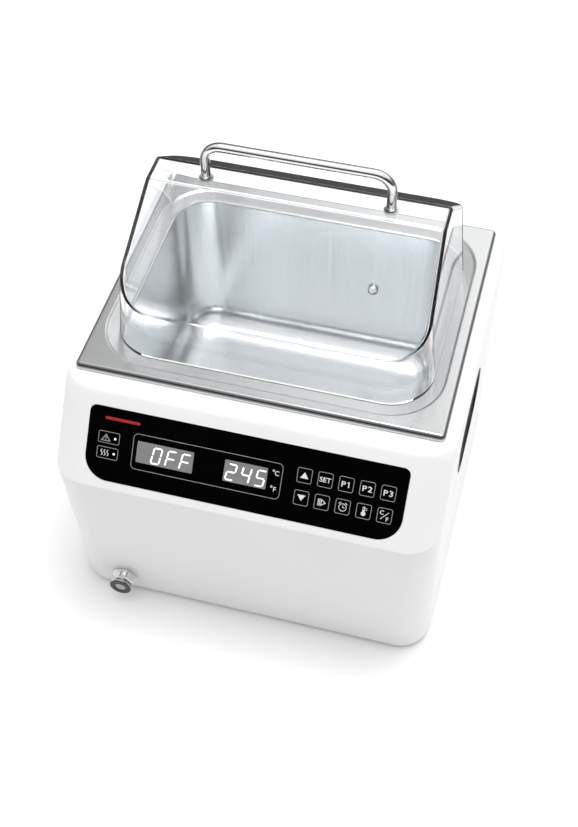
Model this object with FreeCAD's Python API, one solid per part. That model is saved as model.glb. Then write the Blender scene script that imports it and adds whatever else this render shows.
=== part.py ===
import FreeCAD, Part
import os
import math
from FreeCAD import Vector, Placement, Rotation

# Bench-top heated water bath with a drawn steel tank and a clear gabled lid.
# Millimetres, +Z up, origin on the floor under the middle of the bounding box.
# The control fascia faces -Y, +X is to the operator's right.

# ---------------------------------------------------------------- dimensions
HOUSING_W = 320.0          # overall width of the housing
FLOOR_GAP = 5.0            # height of the rubber feet
HOUSING_TOP = 244.0        # top face of the housing
CREASE_Y = -157.7          # horizontal crease between fascia and lower front
CREASE_Z = 176.2
TOE_Y = -140.35            # bottom front edge, set back under the crease
BACK_Y = 155.65            # rear face
FASCIA_DEG = 53.6          # fascia slope above horizontal
FRONT_R = 28.0             # front corner radius in plan
REAR_R = 15.0              # rear corner radius in plan
TOP_R = 12.0               # rounding of the top edge
WALL = 3.0                 # moulded wall thickness

DECK_W, DECK_Y0, DECK_Y1 = 300.0, -95.35, 143.65
DECK_Z = 250.0             # top of the steel deck
SKIRT = 5.0                # turned-down edge of the deck
SHEET = 1.5                # tank sheet thickness
OPEN_X, OPEN_Y0, OPEN_Y1, OPEN_R = 140.0, -84.85, 132.65, 45.0   # deck opening
LEDGE_DROP, LEDGE_W = 2.5, 14.0                                  # lid ledge
TANK_FLOOR_Z = 95.0        # inside floor of the tank
TANK_FLOOR_R = 25.0        # floor to wall radius

LID_X, LID_Y0, LID_Y1, LID_R = 130.4, -72.5, 122.15, 37.0        # lid foot
LID_T = 3.0                # lid sheet thickness
LID_DRAFT = 10.2           # inward lean of the lid walls over their height
LID_TOP_Z = 352.0          # flat top strip
FOLD_FRONT_Y, FOLD_REAR_Y = 20.95, 47.65     # edges of the top strip
EAVE_FRONT_Z, EAVE_REAR_Z = 291.5, 296.0   # where the panes meet the walls

ROD_R = 4.0                # handle rod radius
GRIP_X, GRIP_TOP_Z, GRIP_BEND = 74.5, 383.1, 15.0
GRIP_Y = 0.5 * (FOLD_FRONT_Y + FOLD_REAR_Y)

PANEL_W, PANEL_H = 259.2, 61.1             # control overlay
PANEL_S0 = 7.55            # overlay's lower edge above the crease, up the slope
KEY_U = [178.5, 195.1, 211.75, 228.4, 245.0]
KEY_V = [22.3, 40.7]
KEY_W, KEY_H = 12.4, 12.9
KEY_GAP = 0.2
KEY_TRAVEL = 0.45

DRAIN_X, DRAIN_Z = -114.0, 25.5
DRAIN_TIP_Y = -156.9

os.makedirs("parts", exist_ok=True)
V = Vector
nodes = {}


def put(name, shape):
    nodes[name] = shape
    shape.exportStep("parts/%s.step" % name)


def rrect(x0, x1, y0, y1, r, z=0.0, r2=None):
    """Rounded rectangle wire in a horizontal plane; r2 is for the high-y corners."""
    ra = r
    rb = r if r2 is None else r2
    e = []

    def arc(cx, cy, rad, a):
        p = [V(cx + rad * math.cos(math.radians(t)), cy + rad * math.sin(math.radians(t)), z)
             for t in (a, a + 45, a + 90)]
        return Part.Arc(p[0], p[1], p[2]).toShape()
    e.append(Part.makeLine(V(x0 + ra, y0, z), V(x1 - ra, y0, z)))
    e.append(arc(x1 - ra, y0 + ra, ra, 270))
    e.append(Part.makeLine(V(x1, y0 + ra, z), V(x1, y1 - rb, z)))
    e.append(arc(x1 - rb, y1 - rb, rb, 0))
    e.append(Part.makeLine(V(x1 - rb, y1, z), V(x0 + rb, y1, z)))
    e.append(arc(x0 + rb, y1 - rb, rb, 90))
    e.append(Part.makeLine(V(x0, y1 - rb, z), V(x0, y0 + ra, z)))
    e.append(arc(x0 + ra, y0 + ra, ra, 180))
    return Part.Wire(e)


def prism(wire, vec):
    return Part.Face(wire).extrude(vec)


def slab(x0, x1, y0, y1, r, z0, z1, r2=None):
    return prism(rrect(x0, x1, y0, y1, r, z0, r2), V(0, 0, z1 - z0))


def box(x0, x1, y0, y1, z0, z1):
    return Part.makeBox(x1 - x0, y1 - y0, z1 - z0, V(x0, y0, z0))


def cyl(r, h, p, d=V(0, 0, 1)):
    return Part.makeCylinder(r, h, V(*p), d)


def hexbar(af, h, p, d):
    """Hexagon prism with across-flats af."""
    rad = af / math.sqrt(3.0)
    pts = [V(rad * math.cos(math.radians(60 * i)), rad * math.sin(math.radians(60 * i)), 0) for i in range(7)]
    s = Part.Face(Part.makePolygon(pts)).extrude(V(0, 0, h))
    s.Placement = Placement(V(*p), Rotation(V(0, 0, 1), d))
    return s


def try_fillet(shape, r, edges, label):
    """Round the given edges; keep the sharp shape if the kernel cannot."""
    for rad in (r, r * 0.8, r * 0.6, r * 0.4):
        try:
            s = shape.makeFillet(rad, edges)
            if s.isValid() and s.Volume > 0:
                if rad != r:
                    print("fillet", label, "reduced to", rad)
                return s
        except Exception:
            pass
    print("fillet", label, "left sharp")
    return shape


def solid1(shape):
    """The single solid inside a boolean result."""
    s = sorted(shape.Solids, key=lambda q: -q.Volume)
    if len(s) > 1:
        print("note: several solids, volumes", [round(q.Volume, 1) for q in s])
    return s[0]


def group(shapes):
    return Part.makeCompound(shapes)


# ---------------------------------------------------------------- housing
TAN = math.tan(math.radians(FASCIA_DEG))
COS = math.cos(math.radians(FASCIA_DEG))
SIN = math.sin(math.radians(FASCIA_DEG))
LOW = V(0, TOE_Y - CREASE_Y, FLOOR_GAP - CREASE_Z)      # down the lower front
LOW_L = LOW.Length


def crease_at(off):
    """Crease point of the outline moved inward by off."""
    # lower front: inward normal
    ny, nz = -LOW.z / LOW_L, LOW.y / LOW_L
    # fascia: inward normal
    my, mz = SIN, -COS
    # solve n.(p-c)=off and m.(p-c)=off
    det = ny * mz - nz * my
    dy = (off * mz - off * nz) / det
    dz = (ny * off - my * off) / det
    return CREASE_Y + dy, CREASE_Z + dz


def housing(off, z0, z1):
    """Closed housing form with every outer face moved inward by off."""
    cy, cz = crease_at(off)
    hw = HOUSING_W / 2 - off
    rf, rr = FRONT_R - off, REAR_R - off
    far = 420.0
    sec = rrect(-hw, hw, cy, far, rf, cz)
    k = (z0 - 40 - cz) / LOW.z
    lower = prism(sec, V(0, LOW.y * k, LOW.z * k))
    h = z1 + 40 - cz
    upper = prism(rrect(-hw, hw, cy, far, rf, cz), V(0, h / TAN, h))
    front = lower.fuse(upper).removeSplitter()
    back = slab(-hw, hw, -400, BACK_Y - off, 5.0, z0, z1, rr)
    body = solid1(front.common(back).removeSplitter())
    return body


def edges_at(shape, test):
    return [e for e in shape.Edges if test(e)]


def mid(e):
    return e.valueAt(0.5 * (e.FirstParameter + e.LastParameter))


outer = housing(0.0, FLOOR_GAP, HOUSING_TOP)
inner = housing(WALL, FLOOR_GAP - 20.0, HOUSING_TOP - WALL)


def is_level(e, z, tol=0.02):
    pts = [e.valueAt(e.FirstParameter + t * (e.LastParameter - e.FirstParameter)) for t in (0.02, 0.5, 0.98)]
    return all(abs(p.z - z) < tol for p in pts)


outer = try_fillet(outer, TOP_R, [e for e in outer.Edges if is_level(e, HOUSING_TOP)], "housing top")
inner = try_fillet(inner, TOP_R - WALL, [e for e in inner.Edges if is_level(e, HOUSING_TOP - WALL)], "inner top")
outer = try_fillet(outer, 1.5, [e for e in outer.Edges if is_level(e, FLOOR_GAP)], "housing foot")

shell = outer.cut(inner)
# opening for the tank
shell = shell.cut(slab(-OPEN_X - 2.4, OPEN_X + 2.4, OPEN_Y0 - 2.4, OPEN_Y1 + 2.4, OPEN_R + 2.4, 200, 300))

# fascia frame: x along the panel, s up the slope from the crease, n outward
FASCIA = Placement(V(0, CREASE_Y, CREASE_Z), Rotation(V(1, 0, 0), FASCIA_DEG))
PX0 = -PANEL_W / 2
PS1 = PANEL_S0 + PANEL_H


def ux(u):
    return PX0 + u


def vs(v):
    return PS1 - v


def on_fascia(shape):
    s = shape.copy()
    s.Placement = FASCIA.multiply(s.Placement)
    return s


def fslab(x0, x1, s0, s1, r, n0, n1, r2=None):
    return on_fascia(slab(x0, x1, s0, s1, r, n0, n1, r2))


def fcyl(r, x, s, n0, n1):
    return on_fascia(cyl(r, n1 - n0, (x, s, n0)))


OV_BACK, OV_FACE = -1.0, 0.25
shell = shell.cut(fslab(PX0 - 0.25, -PX0 + 0.25, PANEL_S0 - 0.25, PS1 + 0.25, 20.25, OV_BACK, 5.0, 5.75))
# windows through the fascia wall: keys, the two displays, indicators
KWIN = (ux(KEY_U[0]) - 8.2, ux(KEY_U[-1]) + 8.2, vs(KEY_V[1]) - 8.4, vs(KEY_V[0]) + 8.4)
shell = shell.cut(fslab(KWIN[0], KWIN[1], KWIN[2], KWIN[3], 3.0, -6.0, 1.0))
DISP = {"left": (41.9, 88.9, 22.4, 40.2), "right": (114.3, 149.3, 22.4, 40.2)}
for k, (a, b, c, d) in DISP.items():
    shell = shell.cut(fslab(ux(a) - 0.5, ux(b) + 0.5, vs(d) - 0.5, vs(c) + 0.5, 1.0, -6.0, 1.0))
LEDS = [(23.2, 25.2), (23.4, 37.8), (158.6, 26.2), (158.4, 38.6)]
for (u, v) in LEDS:
    shell = shell.cut(fcyl(1.5, ux(u), vs(v), -6.0, 1.0))

# recessed side grips
GR_Y0, GR_Y1, GR_Z0, GR_Z1, GR_R = -53.0, 43.0, 136.0, 200.0, 30.0


def side_slab(y0, y1, z0, z1, r, x0, x1):
    """Rounded slab in the YZ plane between x0 and x1."""
    s = slab(y0, y1, z0, z1, r, 0.0, x1 - x0)
    # local (a,b,c) -> world (c,a,b)
    s.Placement = Placement(V(x0, 0, 0), Rotation(V(0, 1, 0), V(0, 0, 1), V(1, 0, 0), "XYZ"))
    return s


for sgn in (1, -1):
    xa, xb = (150.0, 165.0) if sgn > 0 else (-165.0, -150.0)
    shell = shell.cut(side_slab(GR_Y0 + 1.7, GR_Y1 - 1.7, GR_Z0 + 1.7, GR_Z1 - 1.7, GR_R - 1.7, xa, xb))

# drain hole in the lower front
shell = shell.cut(cyl(7.3, 60, (DRAIN_X, -170, DRAIN_Z), V(0, 1, 0)))

# rear openings: power inlet, switch, cooling slots


def rear_slab(x0, x1, z0, z1, r, y0, y1):
    """Rounded slab in the XZ plane between y0 and y1."""
    s = slab(x0, x1, -z1, -z0, r, 0.0, y1 - y0)
    # local (a,b,c) -> world (a, c, -b)
    s.Placement = Placement(V(0, y0, 0), Rotation(V(1, 0, 0), V(0, 0, -1), V(0, 1, 0), "XYZ"))
    return s


IN_X, IN_Z = 108.0, 52.0           # inlet centre
SW_X, SW_Z = 108.0, 92.0           # switch centre
shell = shell.cut(rear_slab(IN_X - 14.2, IN_X + 14.2, IN_Z - 10.7, IN_Z + 10.7, 3.0, 140, 170))
shell = shell.cut(rear_slab(SW_X - 13.9, SW_X + 13.9, SW_Z - 9.4, SW_Z + 9.4, 1.0, 140, 170))
for dx in (-20.0, 20.0):
    shell = shell.cut(cyl(1.7, 30, (IN_X + dx, 140, IN_Z), V(0, 1, 0)))
VENT_X0, VENT_X1 = -112.0, -48.0
for i in range(7):
    z = 44.0 + 9.0 * i
    shell = shell.cut(rear_slab(VENT_X0, VENT_X1, z, z + 3.6, 1.79, 140, 170))

# screw bosses for the base plate, joined to the side walls
BOSS = [(-152.4, -95.0), (152.4, -95.0), (-152.4, 125.0), (152.4, 125.0)]
for (x, y) in BOSS:
    shell = shell.fuse(cyl(5.0, 22.0, (x, y, 8.2)))
for (x, y) in BOSS:
    shell = shell.cut(cyl(1.95, 18.0, (x, y, 8.0)))
shell = solid1(shell.removeSplitter())
put("housing_shell", shell)

# ---------------------------------------------------------------- base plate
BP_Z0, BP_Z1 = 6.0, 8.0
plate_form = housing(WALL + 0.4, 0.0, 60.0)
plate = plate_form.common(box(-200, 200, -200, 200, BP_Z0, BP_Z1))
for (x, y) in BOSS:
    plate = plate.cut(cyl(2.2, 10, (x, y, 2)))
FEET = [(-125.0, -112.0), (125.0, -112.0), (-125.0, 128.0), (125.0, 128.0)]
for (x, y) in FEET:
    plate = plate.cut(cyl(3.4, 10, (x, y, 2)))
for i in range(8):
    plate = plate.cut(slab(-60 + 15 * i, -54 + 15 * i, 60, 100, 2.9, 0, 20))
put("base_plate", solid1(plate))

screws = []
for (x, y) in BOSS:
    screws.append(cyl(1.85, 13.0, (x, y, 6.0)).fuse(cyl(3.6, 2.4, (x, y, 3.6))).cut(
        hexbar(2.4, 1.5, (x, y, 3.5), V(0, 0, 1))))
put("base_screws", group([solid1(s.removeSplitter()) for s in screws]))

feet = []
for (x, y) in FEET:
    f = Part.makeCone(9.0, 11.0, 6.0, V(x, y, 0))
    f = f.fuse(cyl(3.2, 2.4, (x, y, 5.8))).fuse(Part.makeCone(4.4, 3.0, 2.6, V(x, y, 8.1)))
    f = f.removeSplitter()
    f = try_fillet(f, 0.8, [e for e in f.Edges if is_level(e, 0.0)], "foot")
    feet.append(solid1(f))
put("rubber_feet", group(feet))

# ---------------------------------------------------------------- tank
LZ = DECK_Z - LEDGE_DROP
TX, TY0, TY1, TR = OPEN_X - LEDGE_W, OPEN_Y0 + LEDGE_W, OPEN_Y1 - LEDGE_W, OPEN_R - LEDGE_W
pan = slab(-DECK_W / 2, DECK_W / 2, DECK_Y0, DECK_Y1, 4.0, DECK_Z - SKIRT, DECK_Z)
pan = try_fillet(pan, 3.0, [e for e in pan.Edges if is_level(e, DECK_Z)], "deck edge")
pan_in = slab(-DECK_W / 2 + SHEET, DECK_W / 2 - SHEET, DECK_Y0 + SHEET, DECK_Y1 - SHEET, 2.5,
              DECK_Z - SKIRT - 5, DECK_Z - SHEET)
pan_in = try_fillet(pan_in, 1.5, [e for e in pan_in.Edges if is_level(e, DECK_Z - SHEET)], "deck inner edge")
pan = pan.cut(pan_in)
ledge_out = slab(-OPEN_X - SHEET, OPEN_X + SHEET, OPEN_Y0 - SHEET, OPEN_Y1 + SHEET, OPEN_R + SHEET,
                 LZ - SHEET, DECK_Z - 0.5)
well_out = slab(-TX - SHEET, TX + SHEET, TY0 - SHEET, TY1 + SHEET, TR + SHEET, TANK_FLOOR_Z - SHEET, LZ)
well_out = try_fillet(well_out, TANK_FLOOR_R + SHEET, [e for e in well_out.Edges if is_level(e, TANK_FLOOR_Z - SHEET)], "well outside")
well_in = slab(-TX, TX, TY0, TY1, TR, TANK_FLOOR_Z, DECK_Z + 5)
well_in = try_fillet(well_in, TANK_FLOOR_R, [e for e in well_in.Edges if is_level(e, TANK_FLOOR_Z)], "well inside")
ledge_in = slab(-OPEN_X, OPEN_X, OPEN_Y0, OPEN_Y1, OPEN_R, LZ, DECK_Z + 5)
pan = pan.fuse(ledge_out).fuse(well_out).cut(well_in).cut(ledge_in).removeSplitter()
pan = solid1(pan)


def ring_edges(shape, z, hx, y0, y1, tol=0.4):
    """Edges of the level outline with half-width hx and y limits y0..y1."""
    out = []
    for e in shape.Edges:
        if not is_level(e, z):
            continue
        m = mid(e)
        if abs(m.x) <= hx + tol and y0 - tol <= m.y <= y1 + tol:
            out.append(e)
    return out


# soft lip round the opening, small radius where the ledge turns down
lip = [e for e in ring_edges(pan, DECK_Z, OPEN_X, OPEN_Y0, OPEN_Y1)]
pan = try_fillet(pan, 2.0, lip, "opening lip")
brink = [e for e in ring_edges(pan, LZ, TX, TY0, TY1)]
pan = try_fillet(pan, 1.0, brink, "ledge brink")

PORT_X, PORT_Z = 48.9, 174.5
pan = pan.cut(cyl(3.3, 20, (PORT_X, TY1 - 10, PORT_Z), V(0, 1, 0)))
STUB_X, STUB_Y = -84.0, -32.0
pan = pan.cut(cyl(6.3, 10, (STUB_X, STUB_Y, TANK_FLOOR_Z - 5)))
pan = solid1(pan.removeSplitter())
put("tank_pan", pan)

gasket = slab(-146.8, 146.8, DECK_Y0 + 3.2, DECK_Y1 - 3.2, 4.0, HOUSING_TOP, DECK_Z - SHEET)
gasket = gasket.cut(slab(-143.4, 143.4, OPEN_Y0 - 3.4, OPEN_Y1 + 3.4, 20.0, 200, 300))
put("tank_gasket", solid1(gasket))

IX, IY0, IY1 = TX + SHEET + 0.4, TY0 - SHEET - 0.4, TY1 + SHEET + 0.4
ins = slab(-IX - 5, IX + 5, IY0 - 5, IY1 + 5, TR + SHEET + 5.4, 122.0, 236.0)
ins = ins.cut(slab(-IX, IX, IY0, IY1, TR + SHEET + 0.4, 100, 260))
ins = ins.cut(cyl(9.5, 40, (PORT_X, TY1 - 10, PORT_Z), V(0, 1, 0)))
put("tank_insulation", solid1(ins))

FZ = TANK_FLOOR_Z - SHEET
mat = slab(-66, 96, -30, 88, 10, FZ - 5.0, FZ - 0.0)
mat = mat.cut(cyl(9.0, 20, (20, 28, FZ - 15)))
put("heater_plate", solid1(mat))
studs = []
for (x, y) in ((-60, -24), (90, -24), (-60, 82), (90, 82)):
    studs.append(hexbar(8.0, 3.5, (x, y, FZ - 8.5), V(0, 0, 1)))
put("heater_nuts", group(studs))
thermo = cyl(8.0, 6.0, (20, 28, FZ - 6.0)).fuse(cyl(6.0, 5.0, (20, 28, FZ - 11.0)))
for sx in (-1, 1):
    thermo = thermo.fuse(box(20 + sx * 3.4 - 0.4, 20 + sx * 3.4 + 0.4, 25, 31, FZ - 19.0, FZ - 10.5))
put("overtemp_thermostat", solid1(thermo.removeSplitter()))

# temperature probe through the tank's rear wall
CAP_H = 3.0
pr = cyl(4.7, CAP_H, (PORT_X, TY1 - CAP_H, PORT_Z), V(0, 1, 0))
pr = try_fillet(pr, 0.8, [e for e in pr.Edges if abs(mid(e).y - (TY1 - CAP_H)) < 0.01], "probe cap")
pr = pr.fuse(cyl(3.0, 22.0, (PORT_X, TY1 - 1.0, PORT_Z), V(0, 1, 0)))
put("temperature_probe", solid1(pr.removeSplitter()))
nut = hexbar(12.0, 4.0, (PORT_X, TY1 + SHEET + 0.3, PORT_Z), V(0, 1, 0)).cut(
    cyl(3.05, 30, (PORT_X, TY1 - 5, PORT_Z), V(0, 1, 0)))
put("probe_nut", solid1(nut))

# ---------------------------------------------------------------- drain
stub = cyl(9.0, 1.6, (STUB_X, STUB_Y, TANK_FLOOR_Z)).fuse(cyl(6.0, 24.0, (STUB_X, STUB_Y, TANK_FLOOR_Z - 23.0)))
stub = stub.fuse(Part.makeCone(5.0, 5.7, 3.0, V(STUB_X, STUB_Y, TANK_FLOOR_Z - 26.0)))
stub = stub.cut(cyl(3.6, 60, (STUB_X, STUB_Y, TANK_FLOOR_Z - 40)))
put("drain_stub", solid1(stub.removeSplitter()))
snut = hexbar(17.0, 5.0, (STUB_X, STUB_Y, FZ - 5.4), V(0, 0, 1)).cut(cyl(6.05, 30, (STUB_X, STUB_Y, FZ - 20)))
put("drain_stub_nut", solid1(snut))

# drain coupling in the lower front: neck, wall plate, end flange
dy = DRAIN_TIP_Y
WALL_Y = CREASE_Y + (CREASE_Z - DRAIN_Z) / (CREASE_Z - FLOOR_GAP) * (TOE_Y - CREASE_Y)   # outer wall at drain height
neck = cyl(6.1, 44.0, (DRAIN_X, dy, DRAIN_Z), V(0, 1, 0))
flange = cyl(9.75, 2.2, (DRAIN_X, dy, DRAIN_Z), V(0, 1, 0))
flange = try_fillet(flange, 0.6, flange.Edges, "drain flange")
plate_d = cyl(10.8, 2.0, (DRAIN_X, WALL_Y - 3.2, DRAIN_Z), V(0, 1, 0))
plate_d = try_fillet(plate_d, 0.7, plate_d.Edges, "drain plate")
barb = Part.makeCone(6.1, 4.6, 12.0, V(DRAIN_X, dy + 43.9, DRAIN_Z), V(0, 1, 0))
db = neck.fuse(flange).fuse(plate_d).fuse(barb)
# wedge-shaped seat that follows the sloping wall behind the plate
seat = cyl(8.6, 12.0, (DRAIN_X, WALL_Y - 2.0, DRAIN_Z), V(0, 1, 0))
db = db.fuse(seat.cut(outer))
db = db.cut(cyl(5.2, 16.0, (DRAIN_X, dy - 1, DRAIN_Z), V(0, 1, 0)))
db = db.cut(cyl(3.4, 70.0, (DRAIN_X, dy - 1, DRAIN_Z), V(0, 1, 0)))
db = solid1(db.removeSplitter())
put("drain_body", db)
IN_WALL_Y = WALL_Y + 4.2
dnut = hexbar(19.0, 6.0, (DRAIN_X, IN_WALL_Y, DRAIN_Z), V(0, 1, 0)).cut(cyl(6.15, 80, (DRAIN_X, -200, DRAIN_Z), V(0, 1, 0)))
put("drain_nut", solid1(dnut))

pop = cyl(5.1, 3.0, (DRAIN_X, dy + 0.5, DRAIN_Z), V(0, 1, 0))
pop = try_fillet(pop, 0.5, [e for e in pop.Edges if abs(mid(e).y - (dy + 0.5)) < 0.01], "poppet")
pop = pop.fuse(cyl(2.2, 6.0, (DRAIN_X, dy + 3.0, DRAIN_Z), V(0, 1, 0)))
put("drain_poppet", solid1(pop.removeSplitter()))

# thumb latch: flat plate round the neck with a tab up and to the right
LATCH_DEG = 40.0           # from straight up towards +X
LATCH_TRAVEL = 1.6
lat_y0 = dy + 3.4
lt = slab(-8.2, 8.2, -8.2, 8.6, 4.0, 0.0, 1.6)
lt = lt.fuse(slab(-4.2, 4.2, 6.0, 15.0, 1.5, 0.0, 1.6))
lt = lt.fuse(slab(-4.2, 4.2, 13.2, 15.6, 1.1, -1.0, 5.0))
lt = lt.cut(slab(-6.4, 6.4, -6.4, 6.4 + LATCH_TRAVEL + 0.2, 6.39, -5, 10))
# local (a,b,c) -> world: a right, b up (rolled by LATCH_DEG), c along +Y
ca, sa = math.cos(math.radians(LATCH_DEG)), math.sin(math.radians(LATCH_DEG))
lt.Placement = Placement(V(DRAIN_X, lat_y0, DRAIN_Z),
                         Rotation(V(-ca, 0, sa), V(sa, 0, ca), V(0, 1, 0), "XYZ"))
put("drain_latch", solid1(lt.removeSplitter()))

# drain hose inside the housing: straight runs joined by tangent arcs
H0 = V(STUB_X, STUB_Y, TANK_FLOOR_Z - 26.4)
H3 = V(DRAIN_X, dy + 56.4, DRAIN_Z)
hose_pts = [H0, V(STUB_X, STUB_Y, 48.0), V(-90.0, -42.0, 27.0), V(-108.0, -66.0, DRAIN_Z), V(DRAIN_X, -82.0, DRAIN_Z), H3]


def runs_and_arcs(pts):
    """Path of straight runs joined by tangent arcs as large as the runs allow."""
    edges, cur = [], pts[0]
    for i in range(1, len(pts) - 1):
        a, b = pts[i] - pts[i - 1], pts[i + 1] - pts[i]
        la, lb = a.Length, b.Length
        a.normalize()
        b.normalize()
        ang = a.getAngle(b)
        t = 0.45 * min(la, lb)
        rad = t / math.tan(ang / 2)
        print("hose bend radius", round(rad, 1))
        p1, p2 = pts[i] - a * t, pts[i] + b * t
        bis = (b - a)
        bis.normalize()
        c = pts[i] + bis * (rad / math.cos(ang / 2))
        m = pts[i] - c
        m.normalize()
        m = c + m * rad
        edges.append(Part.makeLine(cur, p1))
        edges.append(Part.Arc(p1, m, p2).toShape())
        cur = p2
    edges.append(Part.makeLine(cur, pts[-1]))
    return Part.Wire(edges)


path = runs_and_arcs(hose_pts)
d0 = hose_pts[1] - hose_pts[0]


def sweep(path, r):
    prof = Part.Wire([Part.makeCircle(r, hose_pts[0], d0)])
    return path.makePipeShell([prof], True, False, 2)


hose = sweep(path, 6.6)
hose_bore = sweep(path, 4.9)
hose = hose.cut(hose_bore)
print("hose volume", round(hose.Volume, 1), "expected", round(math.pi * (6.6 ** 2 - 4.9 ** 2) * path.Length, 1))
put("drain_hose", solid1(hose))
clips = []
c1 = cyl(8.3, 5.0, (STUB_X, STUB_Y, 58.0)).cut(cyl(6.8, 20, (STUB_X, STUB_Y, 50)))
c2 = cyl(8.3, 5.0, (DRAIN_X, H3.y + 3.5, DRAIN_Z), V(0, 1, 0)).cut(cyl(6.8, 40, (DRAIN_X, H3.y - 10, DRAIN_Z), V(0, 1, 0)))
put("hose_clips", group([solid1(c1), solid1(c2)]))

# ---------------------------------------------------------------- control panel
ov = fslab(PX0, -PX0, PANEL_S0, PS1, 20.0, OV_BACK, OV_FACE, 5.5)
keys = {}
names = [["key_up", "key_set", "key_p1", "key_p2", "key_p3"],
         ["key_down", "key_start", "key_timer", "key_probe", "key_unit"]]
for j, v in enumerate(KEY_V):
    for i, u in enumerate(KEY_U):
        x, s = ux(u), vs(v)
        hw, hh = KEY_W / 2, KEY_H / 2
        ov = ov.cut(fslab(x - hw, x + hw, s - hh, s + hh, 2.2, OV_BACK - 1, OV_FACE + 1))
        k = slab(x - hw + KEY_GAP, x + hw - KEY_GAP, s - hh + KEY_GAP, s + hh - KEY_GAP, 2.0, OV_BACK - 0.6, OV_FACE)
        k = try_fillet(k, 0.25, [e for e in k.Edges if is_level(e, OV_FACE)], "key face")
        k = k.fuse(slab(x - hw - 0.7, x + hw + 0.7, s - hh - 0.7, s + hh + 0.7, 2.4, OV_BACK - 1.0, OV_BACK - 0.15))
        k = k.fuse(cyl(2.4, 2.6, (x, s, OV_BACK - 3.4)))
        k = solid1(k.removeSplitter())
        keys[names[j][i]] = on_fascia(k)
for k, (a, b, c, d) in DISP.items():
    ov = ov.cut(fslab(ux(a), ux(b), vs(d), vs(c), 0.8, OV_BACK - 1, OV_FACE + 1))
for (u, v) in LEDS:
    ov = ov.cut(fcyl(1.0, ux(u), vs(v), OV_BACK - 1, OV_FACE + 1))
put("control_overlay", solid1(ov))
for k, s in keys.items():
    put(k, s)
wins = [fslab(ux(a) + 0.05, ux(b) - 0.05, vs(d) + 0.05, vs(c) - 0.05, 0.75, OV_BACK - 0.8, OV_FACE - 0.05)
        for (a, b, c, d) in DISP.values()]
put("display_windows", group(wins))

PCB_N = -12.0               # front face of the circuit board
leds = []
for (u, v) in LEDS:
    l = cyl(0.95, OV_FACE - 0.1 - PCB_N, (ux(u), vs(v), PCB_N)).fuse(cyl(1.35, -3.5 - PCB_N, (ux(u), vs(v), PCB_N)))
    leds.append(on_fascia(solid1(l.removeSplitter())))
put("indicator_leds", group(leds))
mods = [fslab(ux(a) + 0.6, ux(b) - 0.6, vs(d) + 0.6, vs(c) - 0.6, 0.5, PCB_N, OV_BACK - 0.9) for (a, b, c, d) in DISP.values()]
put("display_modules", group(mods))
PCB = (ux(12), ux(252), vs(50), vs(13))
pcb = fslab(PCB[0], PCB[1], PCB[2], PCB[3], 2.0, PCB_N - 1.6, PCB_N)
PH = [(ux(16), vs(17)), (ux(168), vs(17)), (ux(16), vs(46)), (ux(168), vs(46))]
for (x, s) in PH:
    pcb = pcb.cut(fcyl(1.7, x, s, PCB_N - 5, PCB_N + 5))
put("control_pcb", solid1(pcb))
tact = []
for v in KEY_V:
    for u in KEY_U:
        t = slab(ux(u) - 3, ux(u) + 3, vs(v) - 3, vs(v) + 3, 0.4, PCB_N, PCB_N + 3.5)
        t = t.fuse(cyl(1.7, 3.4, (ux(u), vs(v), PCB_N + 3.4)))
        tact.append(on_fascia(solid1(t.removeSplitter())))
put("tact_switches", group(tact))
st = [fcyl(3.2, x, s, PCB_N, -WALL).cut(fcyl(1.25, x, s, PCB_N - 1, -WALL - 1.0)) for (x, s) in PH]
put("board_standoffs", group([solid1(q) for q in st]))
sc = []
for (x, s) in PH:
    q = cyl(1.2, 7.0, (x, s, PCB_N - 1.8)).fuse(cyl(2.7, 1.8, (x, s, PCB_N - 3.4)))
    sc.append(on_fascia(solid1(q.removeSplitter())))
put("board_screws", group(sc))

# ---------------------------------------------------------------- power side
board = slab(-20, 70, 62, 122, 2.0, 16.0, 17.6)
SO = [(-15, 67), (65, 67), (-15, 117), (65, 117)]
for (x, y) in SO:
    board = board.cut(cyl(1.8, 10, (x, y, 12)))
put("power_board", solid1(board))
comp = [slab(-8, 22, 74, 98, 1.0, 17.6, 42.0), slab(30, 50, 72, 100, 1.0, 17.6, 35.0),
        slab(-8, 50, 104, 112, 0.6, 17.6, 30.0)]
put("power_components", group(comp))
put("board_spacers", group([cyl(3.0, 8.0, (x, y, 8.0)).fuse(cyl(1.7, 3.2, (x, y, 15.9))).removeSplitter().Solids[0]
                            for (x, y) in SO]))

# power inlet: flanged socket with three pins
inl = rear_slab(IN_X - 25, IN_X + 25, IN_Z - 12.5, IN_Z + 12.5, 6.0, BACK_Y, BACK_Y + 2.05)
inl = inl.fuse(rear_slab(IN_X - 13.9, IN_X + 13.9, IN_Z - 10.4, IN_Z + 10.4, 2.8, BACK_Y - 20, BACK_Y + 0.5))
inl = inl.cut(rear_slab(IN_X - 12.0, IN_X + 12.0, IN_Z - 8.2, IN_Z + 8.2, 2.2, BACK_Y - 17.5, BACK_Y + 5))
for dx in (-20.0, 20.0):
    inl = inl.cut(cyl(1.7, 30, (IN_X + dx, 140, IN_Z), V(0, 1, 0)))
put("power_inlet", solid1(inl.removeSplitter()))
pins = [rear_slab(IN_X + dx - 1.0, IN_X + dx + 1.0, IN_Z + dz - 2.0, IN_Z + dz + 2.0, 0.4, BACK_Y - 17.5, BACK_Y - 3.0)
        for dx, dz in ((-7.0, -2.0), (0.0, 2.0), (7.0, -2.0))]
put("inlet_pins", group(pins))
inlet_screw = []
for dx in (-20.0, 20.0):
    q = cyl(1.5, 11.0, (IN_X + dx, BACK_Y - 9.0, IN_Z), V(0, 1, 0))
    q = q.fuse(hexbar(5.5, 2.4, (IN_X + dx, BACK_Y - WALL - 2.6, IN_Z), V(0, 1, 0)))
    inlet_screw.append(solid1(q.removeSplitter()))
put("inlet_screws", group(inlet_screw))

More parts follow.
